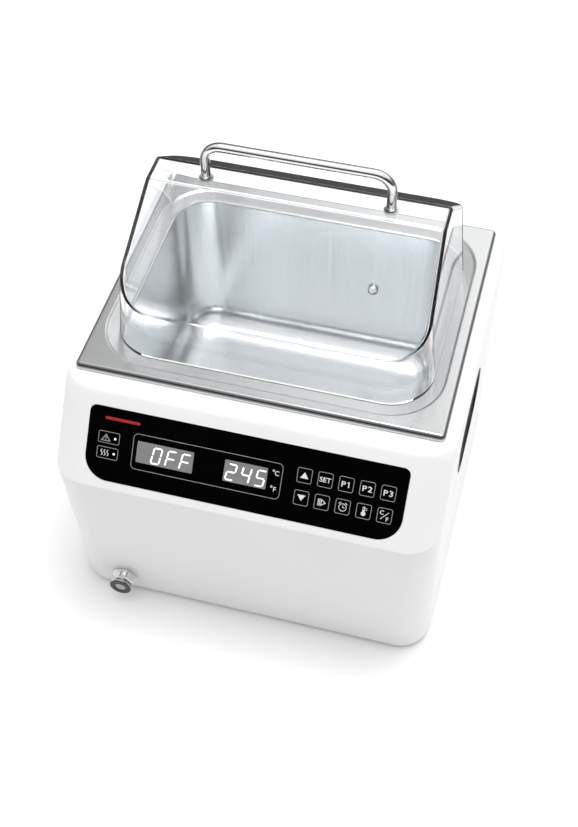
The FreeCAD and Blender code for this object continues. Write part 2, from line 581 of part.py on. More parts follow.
# rocker switch
fr = rear_slab(SW_X - 15.5, SW_X + 15.5, SW_Z - 11.0, SW_Z + 11.0, 1.5, BACK_Y, BACK_Y + 2.0)
fr = fr.fuse(rear_slab(SW_X - 13.6, SW_X + 13.6, SW_Z - 9.1, SW_Z + 9.1, 0.8, BACK_Y - 16, BACK_Y + 0.5))
fr = fr.cut(rear_slab(SW_X - 11.2, SW_X + 11.2, SW_Z - 7.2, SW_Z + 7.2, 0.5, BACK_Y - 13, BACK_Y + 5))
fr = fr.cut(cyl(1.25, 16.4, (SW_X, BACK_Y - 5.0, SW_Z - 8.2)))      # rocker trunnion holes
put("switch_frame", solid1(fr.removeSplitter()))
# rocker: seen along Z it is a shallow vee; pivot along Z
RK_Y = BACK_Y - 5.0
# symmetric vee about the pivot, tipped to one side at rest
base_pts = [(-10.3, 4.4), (0.0, 2.6), (10.3, 4.4), (10.3, 1.2), (4.2, -4.4), (0.0, -5.2), (-4.2, -4.4), (-10.3, 1.2)]
TIP = 9.0
ct, stt = math.cos(math.radians(TIP)), math.sin(math.radians(TIP))
rk = []
for (a, b) in base_pts:
    rk.append(V(SW_X + a * ct - b * stt, RK_Y + a * stt + b * ct, SW_Z - 6.9))
rk.append(rk[0])
rocker = Part.Face(Part.makePolygon(rk)).extrude(V(0, 0, 13.8))
rocker = rocker.fuse(cyl(1.2, 15.6, (SW_X, RK_Y, SW_Z - 7.8)))
put("power_rocker", solid1(rocker.removeSplitter()))

# ---------------------------------------------------------------- side grips
for sgn, nm in ((1, "side_grip_right"), (-1, "side_grip_left")):
    def sb(y0, y1, z0, z1, r, a, b):
        return side_slab(y0, y1, z0, z1, r, a, b) if sgn > 0 else side_slab(y0, y1, z0, z1, r, -b, -a)
    g = sb(GR_Y0, GR_Y1, GR_Z0, GR_Z1, GR_R, 160.0, 160.6)
    g = g.fuse(sb(GR_Y0 + 2, GR_Y1 - 2, GR_Z0 + 2, GR_Z1 - 2, GR_R - 2, 136.5, 160.2))
    cut = sb(GR_Y0 + 4, GR_Y1 - 4, GR_Z0 + 4, GR_Z1 - 4, GR_R - 4, 138.5, 170.0)
    g = g.cut(cut)
    put(nm, solid1(g.removeSplitter()))

# ---------------------------------------------------------------- lid
LID_Z0 = LZ
LID_H = LID_TOP_Z - LID_Z0


def lid_form(off, ztop, extra):
    """Tapered rounded box under a gable, all faces moved inward by off."""
    def sec(z):
        k = (z - LID_Z0) / LID_H
        d = LID_DRAFT * k + off
        return rrect(-LID_X + d, LID_X - d, LID_Y0 + d, LID_Y1 - d, LID_R - d, z)
    z0, z1 = LID_Z0 - extra, LID_TOP_Z + 15
    walls = Part.makeLoft([sec(z0), sec(z1)], True, True)
    # gable outline in YZ
    fy = LID_Y0 + LID_DRAFT * (EAVE_FRONT_Z - LID_Z0) / LID_H
    ry = LID_Y1 - LID_DRAFT * (EAVE_REAR_Z - LID_Z0) / LID_H
    sf = (LID_TOP_Z - EAVE_FRONT_Z) / (FOLD_FRONT_Y - fy)
    sr = (LID_TOP_Z - EAVE_REAR_Z) / (ry - FOLD_REAR_Y)
    zt = LID_TOP_Z - off
    of = off * math.sqrt(1 + sf * sf)
    orr = off * math.sqrt(1 + sr * sr)
    # front pane: z = EAVE_FRONT_Z + sf*(y-fy) - of ; rear pane: z = EAVE_REAR_Z + sr*(ry-y) - orr
    yf = fy + (zt - EAVE_FRONT_Z + of) / sf
    yr = ry - (zt - EAVE_REAR_Z + orr) / sr
    ya, yb = -200.0, 260.0
    za = EAVE_FRONT_Z + sf * (ya - fy) - of
    zb = EAVE_REAR_Z + sr * (ry - yb) - orr
    pts = [V(-200, ya, za), V(-200, yf, zt), V(-200, yr, zt), V(-200, yb, zb), V(-200, yb, -50), V(-200, ya, -50)]
    if za < -50:
        pts = [V(-200, ya, -260), V(-200, ya, za), V(-200, yf, zt), V(-200, yr, zt), V(-200, yb, zb), V(-200, yb, -260)]
    pts.append(pts[0])
    gable = Part.Face(Part.makePolygon(pts)).extrude(V(400, 0, 0))
    s = solid1(walls.common(gable))
    return s, (fy, ry, yf, yr)


lid_o, lid_info = lid_form(0.0, LID_TOP_Z, 0.0)
print("lid fold and eave y", [round(q, 1) for q in lid_info])


def roof_edges(shape):
    """Edges where the panes and the top strip meet each other and the walls."""
    out = []
    for e in shape.Edges:
        p = [e.valueAt(e.FirstParameter + t * (e.LastParameter - e.FirstParameter)) for t in (0.02, 0.5, 0.98)]
        if all(q.z > min(EAVE_FRONT_Z, EAVE_REAR_Z) - 8 for q in p) and e.Length > 0.5:
            out.append(e)
    return out


lid_o2 = try_fillet(lid_o, 3.0, roof_edges(lid_o), "lid roof")
lid_i, _ = lid_form(LID_T, LID_TOP_Z - LID_T, 5.0)
lid_i2 = try_fillet(lid_i, 1.2, roof_edges(lid_i), "lid inner roof")
lid = lid_o2.cut(lid_i2)
for sx in (-1, 1):
    lid = lid.cut(cyl(2.3, 20, (sx * GRIP_X, GRIP_Y, LID_TOP_Z - 10)))
put("lid_cover", solid1(lid))

# rod handle: two posts and a bar, drawn as one bent rod
zb = LID_TOP_Z + 1.6
w = []
P = [V(-GRIP_X, GRIP_Y, zb), V(-GRIP_X, GRIP_Y, GRIP_TOP_Z - GRIP_BEND)]
w.append(Part.makeLine(P[0], P[1]))
q = GRIP_BEND * math.sqrt(0.5)
c = V(-GRIP_X + GRIP_BEND, GRIP_Y, GRIP_TOP_Z - GRIP_BEND)
w.append(Part.Arc(P[1], V(c.x - q, GRIP_Y, c.z + q), V(c.x, GRIP_Y, GRIP_TOP_Z)).toShape())
w.append(Part.makeLine(V(c.x, GRIP_Y, GRIP_TOP_Z), V(-c.x, GRIP_Y, GRIP_TOP_Z)))
w.append(Part.Arc(V(-c.x, GRIP_Y, GRIP_TOP_Z), V(-c.x + q, GRIP_Y, c.z + q), V(GRIP_X, GRIP_Y, c.z)).toShape())
w.append(Part.makeLine(V(GRIP_X, GRIP_Y, c.z), V(GRIP_X, GRIP_Y, zb)))
gw = Part.Wire(w)
handle = gw.makePipeShell([Part.Wire([Part.makeCircle(ROD_R, P[0], V(0, 0, 1))])], True, False)
for sx in (-1, 1):
    handle = handle.cut(cyl(2.0, 9.0, (sx * GRIP_X, GRIP_Y, zb - 0.5)))
put("lid_handle", solid1(handle))
fer, hsc, wsh = [], [], []
for sx in (-1, 1):
    f = cyl(4.4, 1.6, (sx * GRIP_X, GRIP_Y, LID_TOP_Z))
    f = try_fillet(f, 0.3, [e for e in f.Edges if is_level(e, LID_TOP_Z + 1.6)], "ferrule")
    fer.append(solid1(f.cut(cyl(2.3, 20, (sx * GRIP_X, GRIP_Y, LID_TOP_Z - 5)))))
    zi = LID_TOP_Z - LID_T
    wsh.append(cyl(6.0, 1.2, (sx * GRIP_X, GRIP_Y, zi - 1.2)).cut(cyl(2.3, 20, (sx * GRIP_X, GRIP_Y, zi - 8))))
    hs = cyl(1.95, 14.0, (sx * GRIP_X, GRIP_Y, zi - 1.4)).fuse(
        Part.makeSphere(5.2, V(sx * GRIP_X, GRIP_Y, zi + 1.4)).common(cyl(4.0, 6, (sx * GRIP_X, GRIP_Y, zi - 7.2))))
    hs = hs.cut(hexbar(2.5, 2.0, (sx * GRIP_X, GRIP_Y, zi - 4.2), V(0, 0, 1)))
    hsc.append(solid1(hs.removeSplitter()))
put("handle_ferrules", group(fer))
put("handle_screws", group(hsc))
put("handle_washers", group(wsh))

# ---------------------------------------------------------------- summary
tot = Part.makeCompound(list(nodes.values()))
bb = tot.BoundBox
print("nodes", len(nodes))
print("bbox", [round(v, 2) for v in (bb.XMin, bb.XMax, bb.YMin, bb.YMax, bb.ZMin, bb.ZMax)])
for n, s in nodes.items():
    if not s.isValid():
        print("INVALID", n)
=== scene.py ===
import bpy
import bmesh
import math
import numpy as np
from mathutils import Matrix, Vector


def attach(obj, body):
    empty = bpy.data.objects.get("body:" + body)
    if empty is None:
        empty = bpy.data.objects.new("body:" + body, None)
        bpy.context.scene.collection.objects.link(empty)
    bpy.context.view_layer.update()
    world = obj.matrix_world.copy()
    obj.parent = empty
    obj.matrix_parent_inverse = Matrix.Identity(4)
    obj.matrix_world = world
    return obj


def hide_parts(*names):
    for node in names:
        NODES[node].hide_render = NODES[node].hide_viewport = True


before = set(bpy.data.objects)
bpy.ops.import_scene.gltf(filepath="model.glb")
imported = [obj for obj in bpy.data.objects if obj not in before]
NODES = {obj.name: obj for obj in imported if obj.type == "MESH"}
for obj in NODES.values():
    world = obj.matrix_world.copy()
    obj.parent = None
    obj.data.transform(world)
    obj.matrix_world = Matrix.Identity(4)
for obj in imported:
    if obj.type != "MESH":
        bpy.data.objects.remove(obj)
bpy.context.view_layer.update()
SC = bpy.context.scene
MM = 0.001
PROBE_Z = 174.5        # height of the sensor button, mm

# ------------------------------------------------------------------ camera
AZ, EL, ROLL = (math.radians(v) for v in (15.460356, 50.681529, -0.579134))
RIGHT = Vector((math.cos(AZ), math.sin(AZ), 0))
BACK = Vector((math.sin(AZ) * math.cos(EL), -math.cos(AZ) * math.cos(EL), math.sin(EL)))
UP = BACK.cross(RIGHT)
R2 = RIGHT * math.cos(ROLL) + UP * math.sin(ROLL)
U2 = -RIGHT * math.sin(ROLL) + UP * math.cos(ROLL)
cam_data = bpy.data.cameras.new("studio_camera")
cam_data.sensor_width = 36.0
cam_data.lens = 1333.422 * 36.0 / 827.0
cam_data.clip_start, cam_data.clip_end = 0.02, 60.0
cam = bpy.data.objects.new("studio_camera", cam_data)
SC.collection.objects.link(cam)
M = Matrix.Identity(4)
for i, col in enumerate((R2, U2, BACK)):
    for j in range(3):
        M[j][i] = col[j]
M.translation = Vector((0.20240, -0.72903, 1.04441))
cam.matrix_world = M
SC.camera = cam
SC.view_settings.view_transform = "Standard"
SC.view_settings.look = "None"
SC.view_settings.exposure = 0.0
SC.view_settings.gamma = 1.0


# ------------------------------------------------------------------ node helpers
class Tree:
    """Small helper round a material's node tree."""

    def __init__(self, name):
        self.mat = bpy.data.materials.new(name)
        self.mat.use_nodes = True
        self.nt = self.mat.node_tree
        self.bsdf = [n for n in self.nt.nodes if n.type == "BSDF_PRINCIPLED"][0]
        self.out = [n for n in self.nt.nodes if n.type == "OUTPUT_MATERIAL"][0]
        tc = self.nt.nodes.new("ShaderNodeTexCoord")
        self.obj = tc.outputs["Object"]

    def put(self, **vals):
        for k, v in vals.items():
            self.bsdf.inputs[k.replace("_", " ")].default_value = v

    def node(self, kind, **props):
        n = self.nt.nodes.new(kind)
        for k, v in props.items():
            setattr(n, k, v)
        return n

    def link(self, a, b):
        self.nt.links.new(a, b)

    def scaled(self, sx, sy, sz, src=None, rot=(0, 0, 0)):
        m = self.node("ShaderNodeMapping")
        m.inputs["Scale"].default_value = (sx, sy, sz)
        m.inputs["Rotation"].default_value = rot
        self.link(src or self.obj, m.inputs["Vector"])
        return m.outputs["Vector"]

    def noise(self, scale, detail=3.0, rough=0.55, vec=None, distortion=0.0):
        n = self.node("ShaderNodeTexNoise")
        n.inputs["Scale"].default_value = scale
        n.inputs["Detail"].default_value = detail
        n.inputs["Roughness"].default_value = rough
        n.inputs["Distortion"].default_value = distortion
        self.link(vec or self.obj, n.inputs["Vector"])
        return n.outputs["Fac"]

    def voronoi(self, scale, vec=None, feature="F1"):
        n = self.node("ShaderNodeTexVoronoi", feature=feature)
        n.inputs["Scale"].default_value = scale
        self.link(vec or self.obj, n.inputs["Vector"])
        return n.outputs["Distance"]

    def remap(self, src, a, b, lo, hi):
        n = self.node("ShaderNodeMapRange")
        n.clamp = True
        n.inputs["From Min"].default_value = a
        n.inputs["From Max"].default_value = b
        n.inputs["To Min"].default_value = lo
        n.inputs["To Max"].default_value = hi
        self.link(src, n.inputs["Value"])
        return n.outputs["Result"]

    def math(self, op, a, b=None):
        n = self.node("ShaderNodeMath", operation=op)
        for i, v in enumerate((a, b)):
            if v is None:
                continue
            if isinstance(v, (int, float)):
                n.inputs[i].default_value = v
            else:
                self.link(v, n.inputs[i])
        return n.outputs[0]

    def xyz(self, vec=None):
        n = self.node("ShaderNodeSeparateXYZ")
        self.link(vec or self.obj, n.inputs[0])
        return n.outputs[0], n.outputs[1], n.outputs[2]

    def mixcol(self, fac, c0, c1):
        n = self.node("ShaderNodeMix", data_type="RGBA")
        if isinstance(fac, (int, float)):
            n.inputs[0].default_value = fac
        else:
            self.link(fac, n.inputs[0])
        for i, c in ((6, c0), (7, c1)):
            if isinstance(c, (tuple, list)):
                n.inputs[i].default_value = tuple(c) + ((1.0,) if len(c) == 3 else ())
            else:
                self.link(c, n.inputs[i])
        return n.outputs[2]

    def bump(self, height, strength, dist):
        n = self.node("ShaderNodeBump")
        n.inputs["Strength"].default_value = strength
        n.inputs["Distance"].default_value = dist
        self.link(height, n.inputs["Height"])
        self.link(n.outputs["Normal"], self.bsdf.inputs["Normal"])
        return n

    def color(self, sock):
        self.link(sock, self.bsdf.inputs["Base Color"])

    def rough(self, sock):
        self.link(sock, self.bsdf.inputs["Roughness"])


def grey(v):
    return (v, v, v)


# ------------------------------------------------------------------ materials
# painted shade: the deck's steel tone is set darker than the same steel in the well, to match how each is lit
WELL_HI, WELL_LO = (0.815, 0.838, 0.852), (0.78, 0.803, 0.822)
DECK_SHADED_HI, DECK_SHADED_LO = (0.63, 0.635, 0.64), (0.595, 0.60, 0.605)
RIM_SHADE_C = (0.17, 0.172, 0.175)


def mat_housing():
    t = Tree("housing_white")
    t.put(Specular_IOR_Level=0.45)
    big = t.noise(9.0, 2.0)
    fine = t.noise(900.0, 2.0, 0.5)
    c = t.mixcol(t.remap(big, 0.3, 0.7, 0.0, 1.0), (0.86, 0.86, 0.86), (0.89, 0.89, 0.89))
    c = t.mixcol(t.remap(fine, 0.35, 0.7, 0.0, 0.35), c, (0.83, 0.83, 0.832))
    t.color(c)
    t.rough(t.remap(fine, 0.3, 0.7, 0.34, 0.44))
    t.bump(fine, 0.05, 0.0002)
    return t.mat


def mat_steel():
    t = Tree("tank_steel")
    t.put(Metallic=1.0, Anisotropic=0.2)
    x, y, z = t.xyz()
    deck = t.remap(z, 0.2455, 0.2470, 0.0, 1.0)
    # fine rolling lines along X on the deck, softer draw marks down the well
    lines_deck = t.noise(1.0, 3.0, 0.55, t.scaled(10.0, 1100.0, 10.0))
    lines_well = t.noise(1.0, 3.0, 0.55, t.scaled(420.0, 420.0, 8.0))
    blot = t.noise(5.0, 2.0, 0.5)
    mixl = t.node("ShaderNodeMix", data_type="FLOAT")
    t.link(deck, mixl.inputs[0])
    t.link(lines_well, mixl.inputs[2])
    t.link(lines_deck, mixl.inputs[3])
    lines = mixl.outputs[0]
    # the deck takes the darker, painted-shade copy of the steel tone
    well_c = t.mixcol(t.remap(blot, 0.35, 0.7, 0.0, 1.0), WELL_HI, WELL_LO)
    deck_c = t.mixcol(t.remap(blot, 0.35, 0.7, 0.0, 1.0), DECK_SHADED_HI, DECK_SHADED_LO)
    c = t.mixcol(deck, well_c, deck_c)
    # painted shade: the turned-down edge is coloured much darker than the flat, standing in for the dark surroundings
    # it reflects
    ax = t.math("ABSOLUTE", x)
    rim_x = t.remap(ax, 0.1468, 0.1482, 0.0, 1.0)
    rim_f = t.remap(y, -0.0918, -0.0932, 0.0, 1.0)
    rim_b = t.remap(y, 0.1402, 0.1416, 0.0, 1.0)
    rim = t.math("MAXIMUM", rim_x, t.math("MAXIMUM", rim_f, rim_b))
    c = t.mixcol(t.math("MULTIPLY", rim, deck), c, RIM_SHADE_C)
    c = t.mixcol(t.remap(lines, 0.3, 0.7, 0.10, 0.0), c, (0.40, 0.42, 0.44))
    t.color(c)
    t.rough(t.remap(lines, 0.25, 0.75, 0.21, 0.27))
    t.bump(lines, 0.02, 0.00003)
    return t.mat


def mat_clear():
    t = Tree("lid_clear")
    t.put(Transmission_Weight=1.0, IOR=1.46, Specular_IOR_Level=0.5)
    n = t.noise(220.0, 3.0)
    sc = t.noise(1.0, 3.0, 0.6, t.scaled(60.0, 900.0, 300.0, rot=(0.2, 0.3, 0.7)))
    t.color(t.mixcol(t.remap(n, 0.3, 0.7, 0.0, 1.0), (0.985, 0.992, 0.995), (0.995, 0.998, 1.0)))
    t.rough(t.remap(sc, 0.6, 0.8, 0.0, 0.02))
    # painted shade: where the sheet is seen edge-on it is mixed into a dark matte shader, standing in for the dark
    # refraction along its folds and edges
    lw = t.node("ShaderNodeLayerWeight")
    lw.inputs["Blend"].default_value = 0.5
    edge = t.remap(lw.outputs["Facing"], 0.87, 0.935, 0.0, 0.96)
    dark = t.node("ShaderNodeBsdfPrincipled")
    dark.inputs["Base Color"].default_value = (0.02, 0.02, 0.021, 1)
    dark.inputs["Roughness"].default_value = 0.6
    dark.inputs["Specular IOR Level"].default_value = 0.0
    m1 = t.node("ShaderNodeMixShader")
    t.link(edge, m1.inputs[0])
    t.link(t.bsdf.outputs[0], m1.inputs[1])
    t.link(dark.outputs[0], m1.inputs[2])
    # lamps shine through the sheet
    lpn = t.node("ShaderNodeLightPath")
    tr = t.node("ShaderNodeBsdfTransparent")
    tr.inputs["Color"].default_value = (0.95, 0.96, 0.965, 1)
    m2 = t.node("ShaderNodeMixShader")
    t.link(lpn.outputs["Is Shadow Ray"], m2.inputs[0])
    t.link(m1.outputs[0], m2.inputs[1])
    t.link(tr.outputs[0], m2.inputs[2])
    t.link(m2.outputs[0], t.out.inputs["Surface"])
    return t.mat


def mat_chrome():
    t = Tree("rod_chrome")
    t.put(Metallic=1.0)
    n = t.noise(70.0, 4.0, 0.6)
    f = t.noise(1.0, 2.0, 0.5, t.scaled(40.0, 2500.0, 2500.0))
    c = t.mixcol(t.remap(n, 0.3, 0.7, 0.0, 1.0), (0.80, 0.80, 0.805), (0.88, 0.88, 0.885))
    # polished round bar: painted reflection, dark bands coloured in either side of the bright middle by facing angle
    lw = t.node("ShaderNodeLayerWeight")
    lw.inputs["Blend"].default_value = 0.5
    fc = lw.outputs["Facing"]
    painted_reflection_band = t.math("MULTIPLY", t.remap(fc, 0.26, 0.40, 0.0, 1.0), t.remap(fc, 0.62, 0.78, 1.0, 0.25))
    c = t.mixcol(t.math("MULTIPLY", painted_reflection_band, 0.86), c, (0.05, 0.05, 0.052))
    t.color(c)
    t.rough(t.remap(n, 0.3, 0.75, 0.06, 0.12))
    t.bump(f, 0.02, 0.00003)
    return t.mat


def mat_panel(name="panel_black"):
    t = Tree(name)
    t.put(Specular_IOR_Level=0.03)
    n = t.noise(60.0, 3.0)
    f = t.noise(1600.0, 2.0)
    t.color(t.mixcol(t.remap(n, 0.3, 0.7, 0.0, 1.0), (0.0008, 0.0007, 0.0007), (0.0014, 0.0013, 0.0013)))
    t.rough(t.remap(n, 0.3, 0.7, 0.16, 0.22))
    t.bump(f, 0.03, 0.00004)
    return t.mat


def mat_window():
    """Lit display window: a grey glow with a faint cell grain."""
    t = Tree("display_grey")
    t.put(Specular_IOR_Level=0.3)
    n = t.noise(35.0, 3.0)
    f = t.noise(900.0, 2.0)
    c = t.mixcol(t.remap(n, 0.3, 0.7, 0.0, 1.0), (0.145, 0.147, 0.150), (0.17, 0.172, 0.175))
    c = t.mixcol(t.remap(f, 0.4, 0.7, 0.0, 0.3), c, (0.12, 0.12, 0.124))
    t.color(c)
    t.rough(t.remap(n, 0.3, 0.7, 0.25, 0.33))
    t.link(c, t.bsdf.inputs["Emission Color"])
    t.put(Emission_Strength=0.55)
    t.bump(f, 0.03, 0.00004)
    return t.mat


def mat_ink(name, lo, hi, glow=0.0, rough=0.45, scale=700.0):
    t = Tree(name)
    n = t.noise(scale, 2.0)
    c = t.mixcol(t.remap(n, 0.3, 0.7, 0.0, 1.0), lo, hi)
    t.color(c)
    t.rough(t.remap(n, 0.3, 0.7, rough - 0.05, rough + 0.05))
    if glow:
        t.link(c, t.bsdf.inputs["Emission Color"])
        t.put(Emission_Strength=glow)
    return t.mat


def mat_plastic(name, lo, hi, rough=0.5, grain=1200.0, depth=0.00005, strength=0.25, metal=0.0, blot=14.0, spec=0.4):
    """Moulded or plated finish: a slow tone change, a fine grain, and its roughness."""
    t = Tree(name)
    t.put(Metallic=metal, Specular_IOR_Level=spec)
    b = t.noise(blot, 3.0)
    f = t.noise(grain, 2.0)
    c = t.mixcol(t.remap(b, 0.3, 0.7, 0.0, 1.0), lo, hi)
    c = t.mixcol(t.remap(f, 0.35, 0.75, 0.0, 0.3), c, tuple(0.8 * q for q in lo))
    t.color(c)
    t.rough(t.remap(f, 0.3, 0.7, rough - 0.07, rough + 0.07))
    t.bump(f, strength, depth)
    return t.mat


def mat_board():
    t = Tree("board_green")
    x = t.noise(1.0, 1.0, 0.4, t.scaled(300.0, 60.0, 60.0))
    y = t.voronoi(240.0)
    c = t.mixcol(t.remap(x, 0.5, 0.53, 0.0, 1.0), (0.012, 0.10, 0.035), (0.03, 0.19, 0.07))
    c = t.mixcol(t.remap(y, 0.10, 0.14, 0.8, 0.0), c, (0.55, 0.45, 0.25))
    t.color(c)
    t.rough(t.remap(x, 0.3, 0.7, 0.3, 0.42))
    t.bump(x, 0.2, 0.00005)
    return t.mat


def mat_felt():
    t = Tree("foam_grey")
    f = t.noise(1.0, 5.0, 0.7, t.scaled(500.0, 500.0, 220.0), 1.5)
    t.color(t.mixcol(t.remap(f, 0.3, 0.7, 0.0, 1.0), (0.28, 0.28, 0.27), (0.55, 0.55, 0.53)))
    t.put(Roughness=0.95)
    t.bump(f, 0.6, 0.0004)
    return t.mat


def mat_powder():
    t = Tree("base_steel")
    f = t.voronoi(900.0)
    n = t.noise(12.0, 3.0)
    t.color(t.mixcol(t.remap(n, 0.3, 0.7, 0.0, 1.0), (0.60, 0.60, 0.60), (0.68, 0.68, 0.68)))
    t.rough(t.remap(f, 0.1, 0.6, 0.42, 0.55))
    t.bump(f, 0.25, 0.00008)
    return t.mat


MATS = {
    "housing_white": mat_housing(),
    "tank_steel": mat_steel(),
    "lid_clear": mat_clear(),
    "rod_chrome": mat_chrome(),
    "panel_black": mat_panel(),
    "key_black": mat_panel("key_black"),
    "display_grey": mat_window(),
    "led_white": mat_ink("led_white", grey(0.80), grey(0.90), glow=0.6, rough=0.25),
    "grip_black": mat_plastic("grip_black", grey(0.009), grey(0.014), rough=0.5, grain=1500.0, strength=0.35),
    "black_plastic": mat_plastic("black_plastic", grey(0.012), grey(0.02), rough=0.42),
    "rubber_black": mat_plastic("rubber_black", grey(0.014), grey(0.022), rough=0.75, grain=900.0, strength=0.4, spec=0.25),
    "drain_metal": mat_plastic("drain_metal", (0.74, 0.75, 0.76), (0.84, 0.845, 0.85), rough=0.22, grain=1800.0, strength=0.06, metal=1.0),
    "drain_core": mat_plastic("drain_core", grey(0.40), grey(0.48), rough=0.4),
    "board_green": mat_board(),
    "screw_steel": mat_plastic("screw_steel", grey(0.50), grey(0.62), rough=0.32, grain=2200.0, strength=0.1, metal=1.0),
    "aluminium_plate": mat_plastic("aluminium_plate", grey(0.60), grey(0.72), rough=0.38, grain=1500.0, strength=0.12, metal=1.0),
    "foam_grey": mat_felt(),
    "hose_clear": mat_plastic("hose_clear", (0.55, 0.55, 0.52), (0.66, 0.66, 0.63), rough=0.4, strength=0.1),
    "base_steel": mat_powder(),
}
INK_GREY = mat_ink("ink_grey", grey(0.27), grey(0.35))
INK_WHITE = mat_ink("ink_white", grey(0.70), grey(0.80))
SEG_LIT = mat_ink("segment_lit", grey(0.86), grey(0.94), glow=0.5, rough=0.3)
MARK_RED = mat_ink("mark_red", (0.33, 0.010, 0.014), (0.42, 0.016, 0.02))

NODE_SLOT = {}
for n, s in (
    ("housing_shell", "housing_white"), ("base_plate", "base_steel"), ("base_screws", "screw_steel"),
    ("rubber_feet", "rubber_black"), ("tank_pan", "tank_steel"), ("tank_gasket", "rubber_black"),
    ("tank_insulation", "foam_grey"), ("heater_plate", "aluminium_plate"), ("heater_nuts", "screw_steel"),
    ("overtemp_thermostat", "black_plastic"), ("temperature_probe", "rod_chrome"), ("probe_nut", "screw_steel"),
    ("drain_stub", "drain_metal"), ("drain_stub_nut", "screw_steel"), ("drain_body", "drain_metal"),
    ("drain_nut", "screw_steel"), ("drain_hose", "hose_clear"), ("hose_clips", "screw_steel"),
    ("control_overlay", "panel_black"), ("display_windows", "display_grey"), ("indicator_leds", "led_white"),
    ("display_modules", "black_plastic"), ("control_pcb", "board_green"), ("tact_switches", "black_plastic"),
    ("board_standoffs", "screw_steel"), ("board_screws", "screw_steel"), ("power_board", "board_green"),
    ("power_components", "black_plastic"), ("board_spacers", "screw_steel"), ("power_inlet", "black_plastic"),
    ("inlet_pins", "screw_steel"), ("inlet_screws", "screw_steel"), ("switch_frame", "black_plastic"),
    ("side_grip_right", "grip_black"), ("side_grip_left", "grip_black"), ("lid_cover", "lid_clear"),
    ("lid_handle", "rod_chrome"), ("handle_ferrules", "rod_chrome"), ("handle_screws", "screw_steel"),
    ("handle_washers", "screw_steel"), ("drain_latch", "drain_metal"), ("drain_poppet", "drain_core"),
    ("power_rocker", "black_plastic"),
):
    NODE_SLOT[n] = s
for n in NODES:
    if n.startswith("key_"):
        NODE_SLOT[n] = "key_black"
for n, o in NODES.items():
    o.data.materials.clear()
    o.data.materials.append(MATS[NODE_SLOT[n]])


def mat_led_dots():
    """Indicator lenses: the status pair on the left is lit, the unit pair is dark."""
    t = Tree("indicator_lenses")
    x, y, z = t.xyz()
    lit = t.remap(x, -0.02, 0.0, 1.0, 0.0)
    n = t.noise(300.0, 2.0)
    t.color(t.mixcol(lit, (0.004, 0.004, 0.004), t.mixcol(n, (0.80, 0.80, 0.80), (0.9, 0.9, 0.9))))
    t.link(t.mixcol(lit, (0.0, 0.0, 0.0), (1.0, 1.0, 1.0)), t.bsdf.inputs["Emission Color"])
    t.put(Emission_Strength=0.6, Specular_IOR_Level=0.1)
    t.rough(t.remap(n, 0.3, 0.7, 0.22, 0.3))
    return t.mat


def mat_drain_front():
    """Turned metal; the face ring round the poppet is darker than the barrel."""
    t = Tree("drain_barrel")
    t.put(Metallic=1.0)
    x, y, z = t.xyz()
    fr = min(v.co.y for v in NODES["drain_body"].data.vertices)
    face = t.remap(y, fr + 0.0013, fr + 0.0006, 0.0, 1.0)
    n = t.noise(90.0, 3.0)
    f = t.noise(1800.0, 2.0)
    c = t.mixcol(t.remap(n, 0.3, 0.7, 0.0, 1.0), (0.78, 0.785, 0.79), (0.86, 0.865, 0.87))
    t.color(t.mixcol(face, c, (0.07, 0.07, 0.072)))
    t.rough(t.remap(f, 0.3, 0.7, 0.18, 0.26))
    t.bump(f, 0.03, 0.0001)
    return t.mat


NODES["indicator_leds"].data.materials[0] = mat_led_dots()
NODES["drain_body"].data.materials[0] = mat_drain_front()
NODES["handle_washers"].data.materials[0] = MATS["housing_white"]


# ------------------------------------------------------------------ mesh helpers
def link_mesh(name, verts, faces, mat, smooth_deg=None):
    me = bpy.data.meshes.new(name)
    me.from_pydata([tuple(v) for v in verts], [], faces)
    me.validate()
    ob = bpy.data.objects.new(name, me)
    SC.collection.objects.link(ob)
    me.materials.append(mat)
    if smooth_deg:
        smooth(me, smooth_deg)
    return ob


def smooth(me, deg):
    for p in me.polygons:
        p.use_smooth = True
    me.set_sharp_from_angle(angle=math.radians(deg))


def baked(ob):
    """Apply an object's modifiers into its mesh."""
    dg = bpy.context.evaluated_depsgraph_get()
    me = bpy.data.meshes.new_from_object(ob.evaluated_get(dg), depsgraph=dg)
    ob.modifiers.clear()
    ob.data = me
    return ob


def boolean(ob, cutter, op="DIFFERENCE"):
    m = ob.modifiers.new("b", "BOOLEAN")
    m.operation = op
    m.solver = "EXACT"
    m.object = cutter
    baked(ob)
    bpy.data.objects.remove(cutter)


def round_rect(x0, x1, y0, y1, r_lo, r_hi=None, n=12):
    """Outline points, counter-clockwise; r_hi rounds the two high-y corners."""
    r_hi = r_lo if r_hi is None else r_hi
    out = []
    for cx, cy, r, a0 in ((x1 - r_lo, y0 + r_lo, r_lo, 270), (x1 - r_hi, y1 - r_hi, r_hi, 0),
                          (x0 + r_hi, y1 - r_hi, r_hi, 90), (x0 + r_lo, y0 + r_lo, r_lo, 180)):
        for k in range(n + 1):
            a = math.radians(a0 + 90.0 * k / n)
            out.append((cx + r * math.cos(a), cy + r * math.sin(a)))
    return out


def prism(pts, place, c0, c1):
    """Closed prism of a 2-D outline between local heights c0 and c1; place maps (a, b, c) mm to metres."""
    n = len(pts)
    vs = [place(a, b, c0) for a, b in pts] + [place(a, b, c1) for a, b in pts]
    fs = [list(range(n))[::-1], list(range(n, 2 * n))]
    for i in range(n):
        j = (i + 1) % n
        fs.append([i, j, n + j, n + i])
    return vs, fs


def join_parts(parts):
    vs, fs = [], []
    for v, f in parts:
        k = len(vs)
        vs += v
        fs += [[i + k for i in q] for q in f]
    return vs, fs


A53 = math.radians(53.6)
CF, SF = math.cos(A53), math.sin(A53)


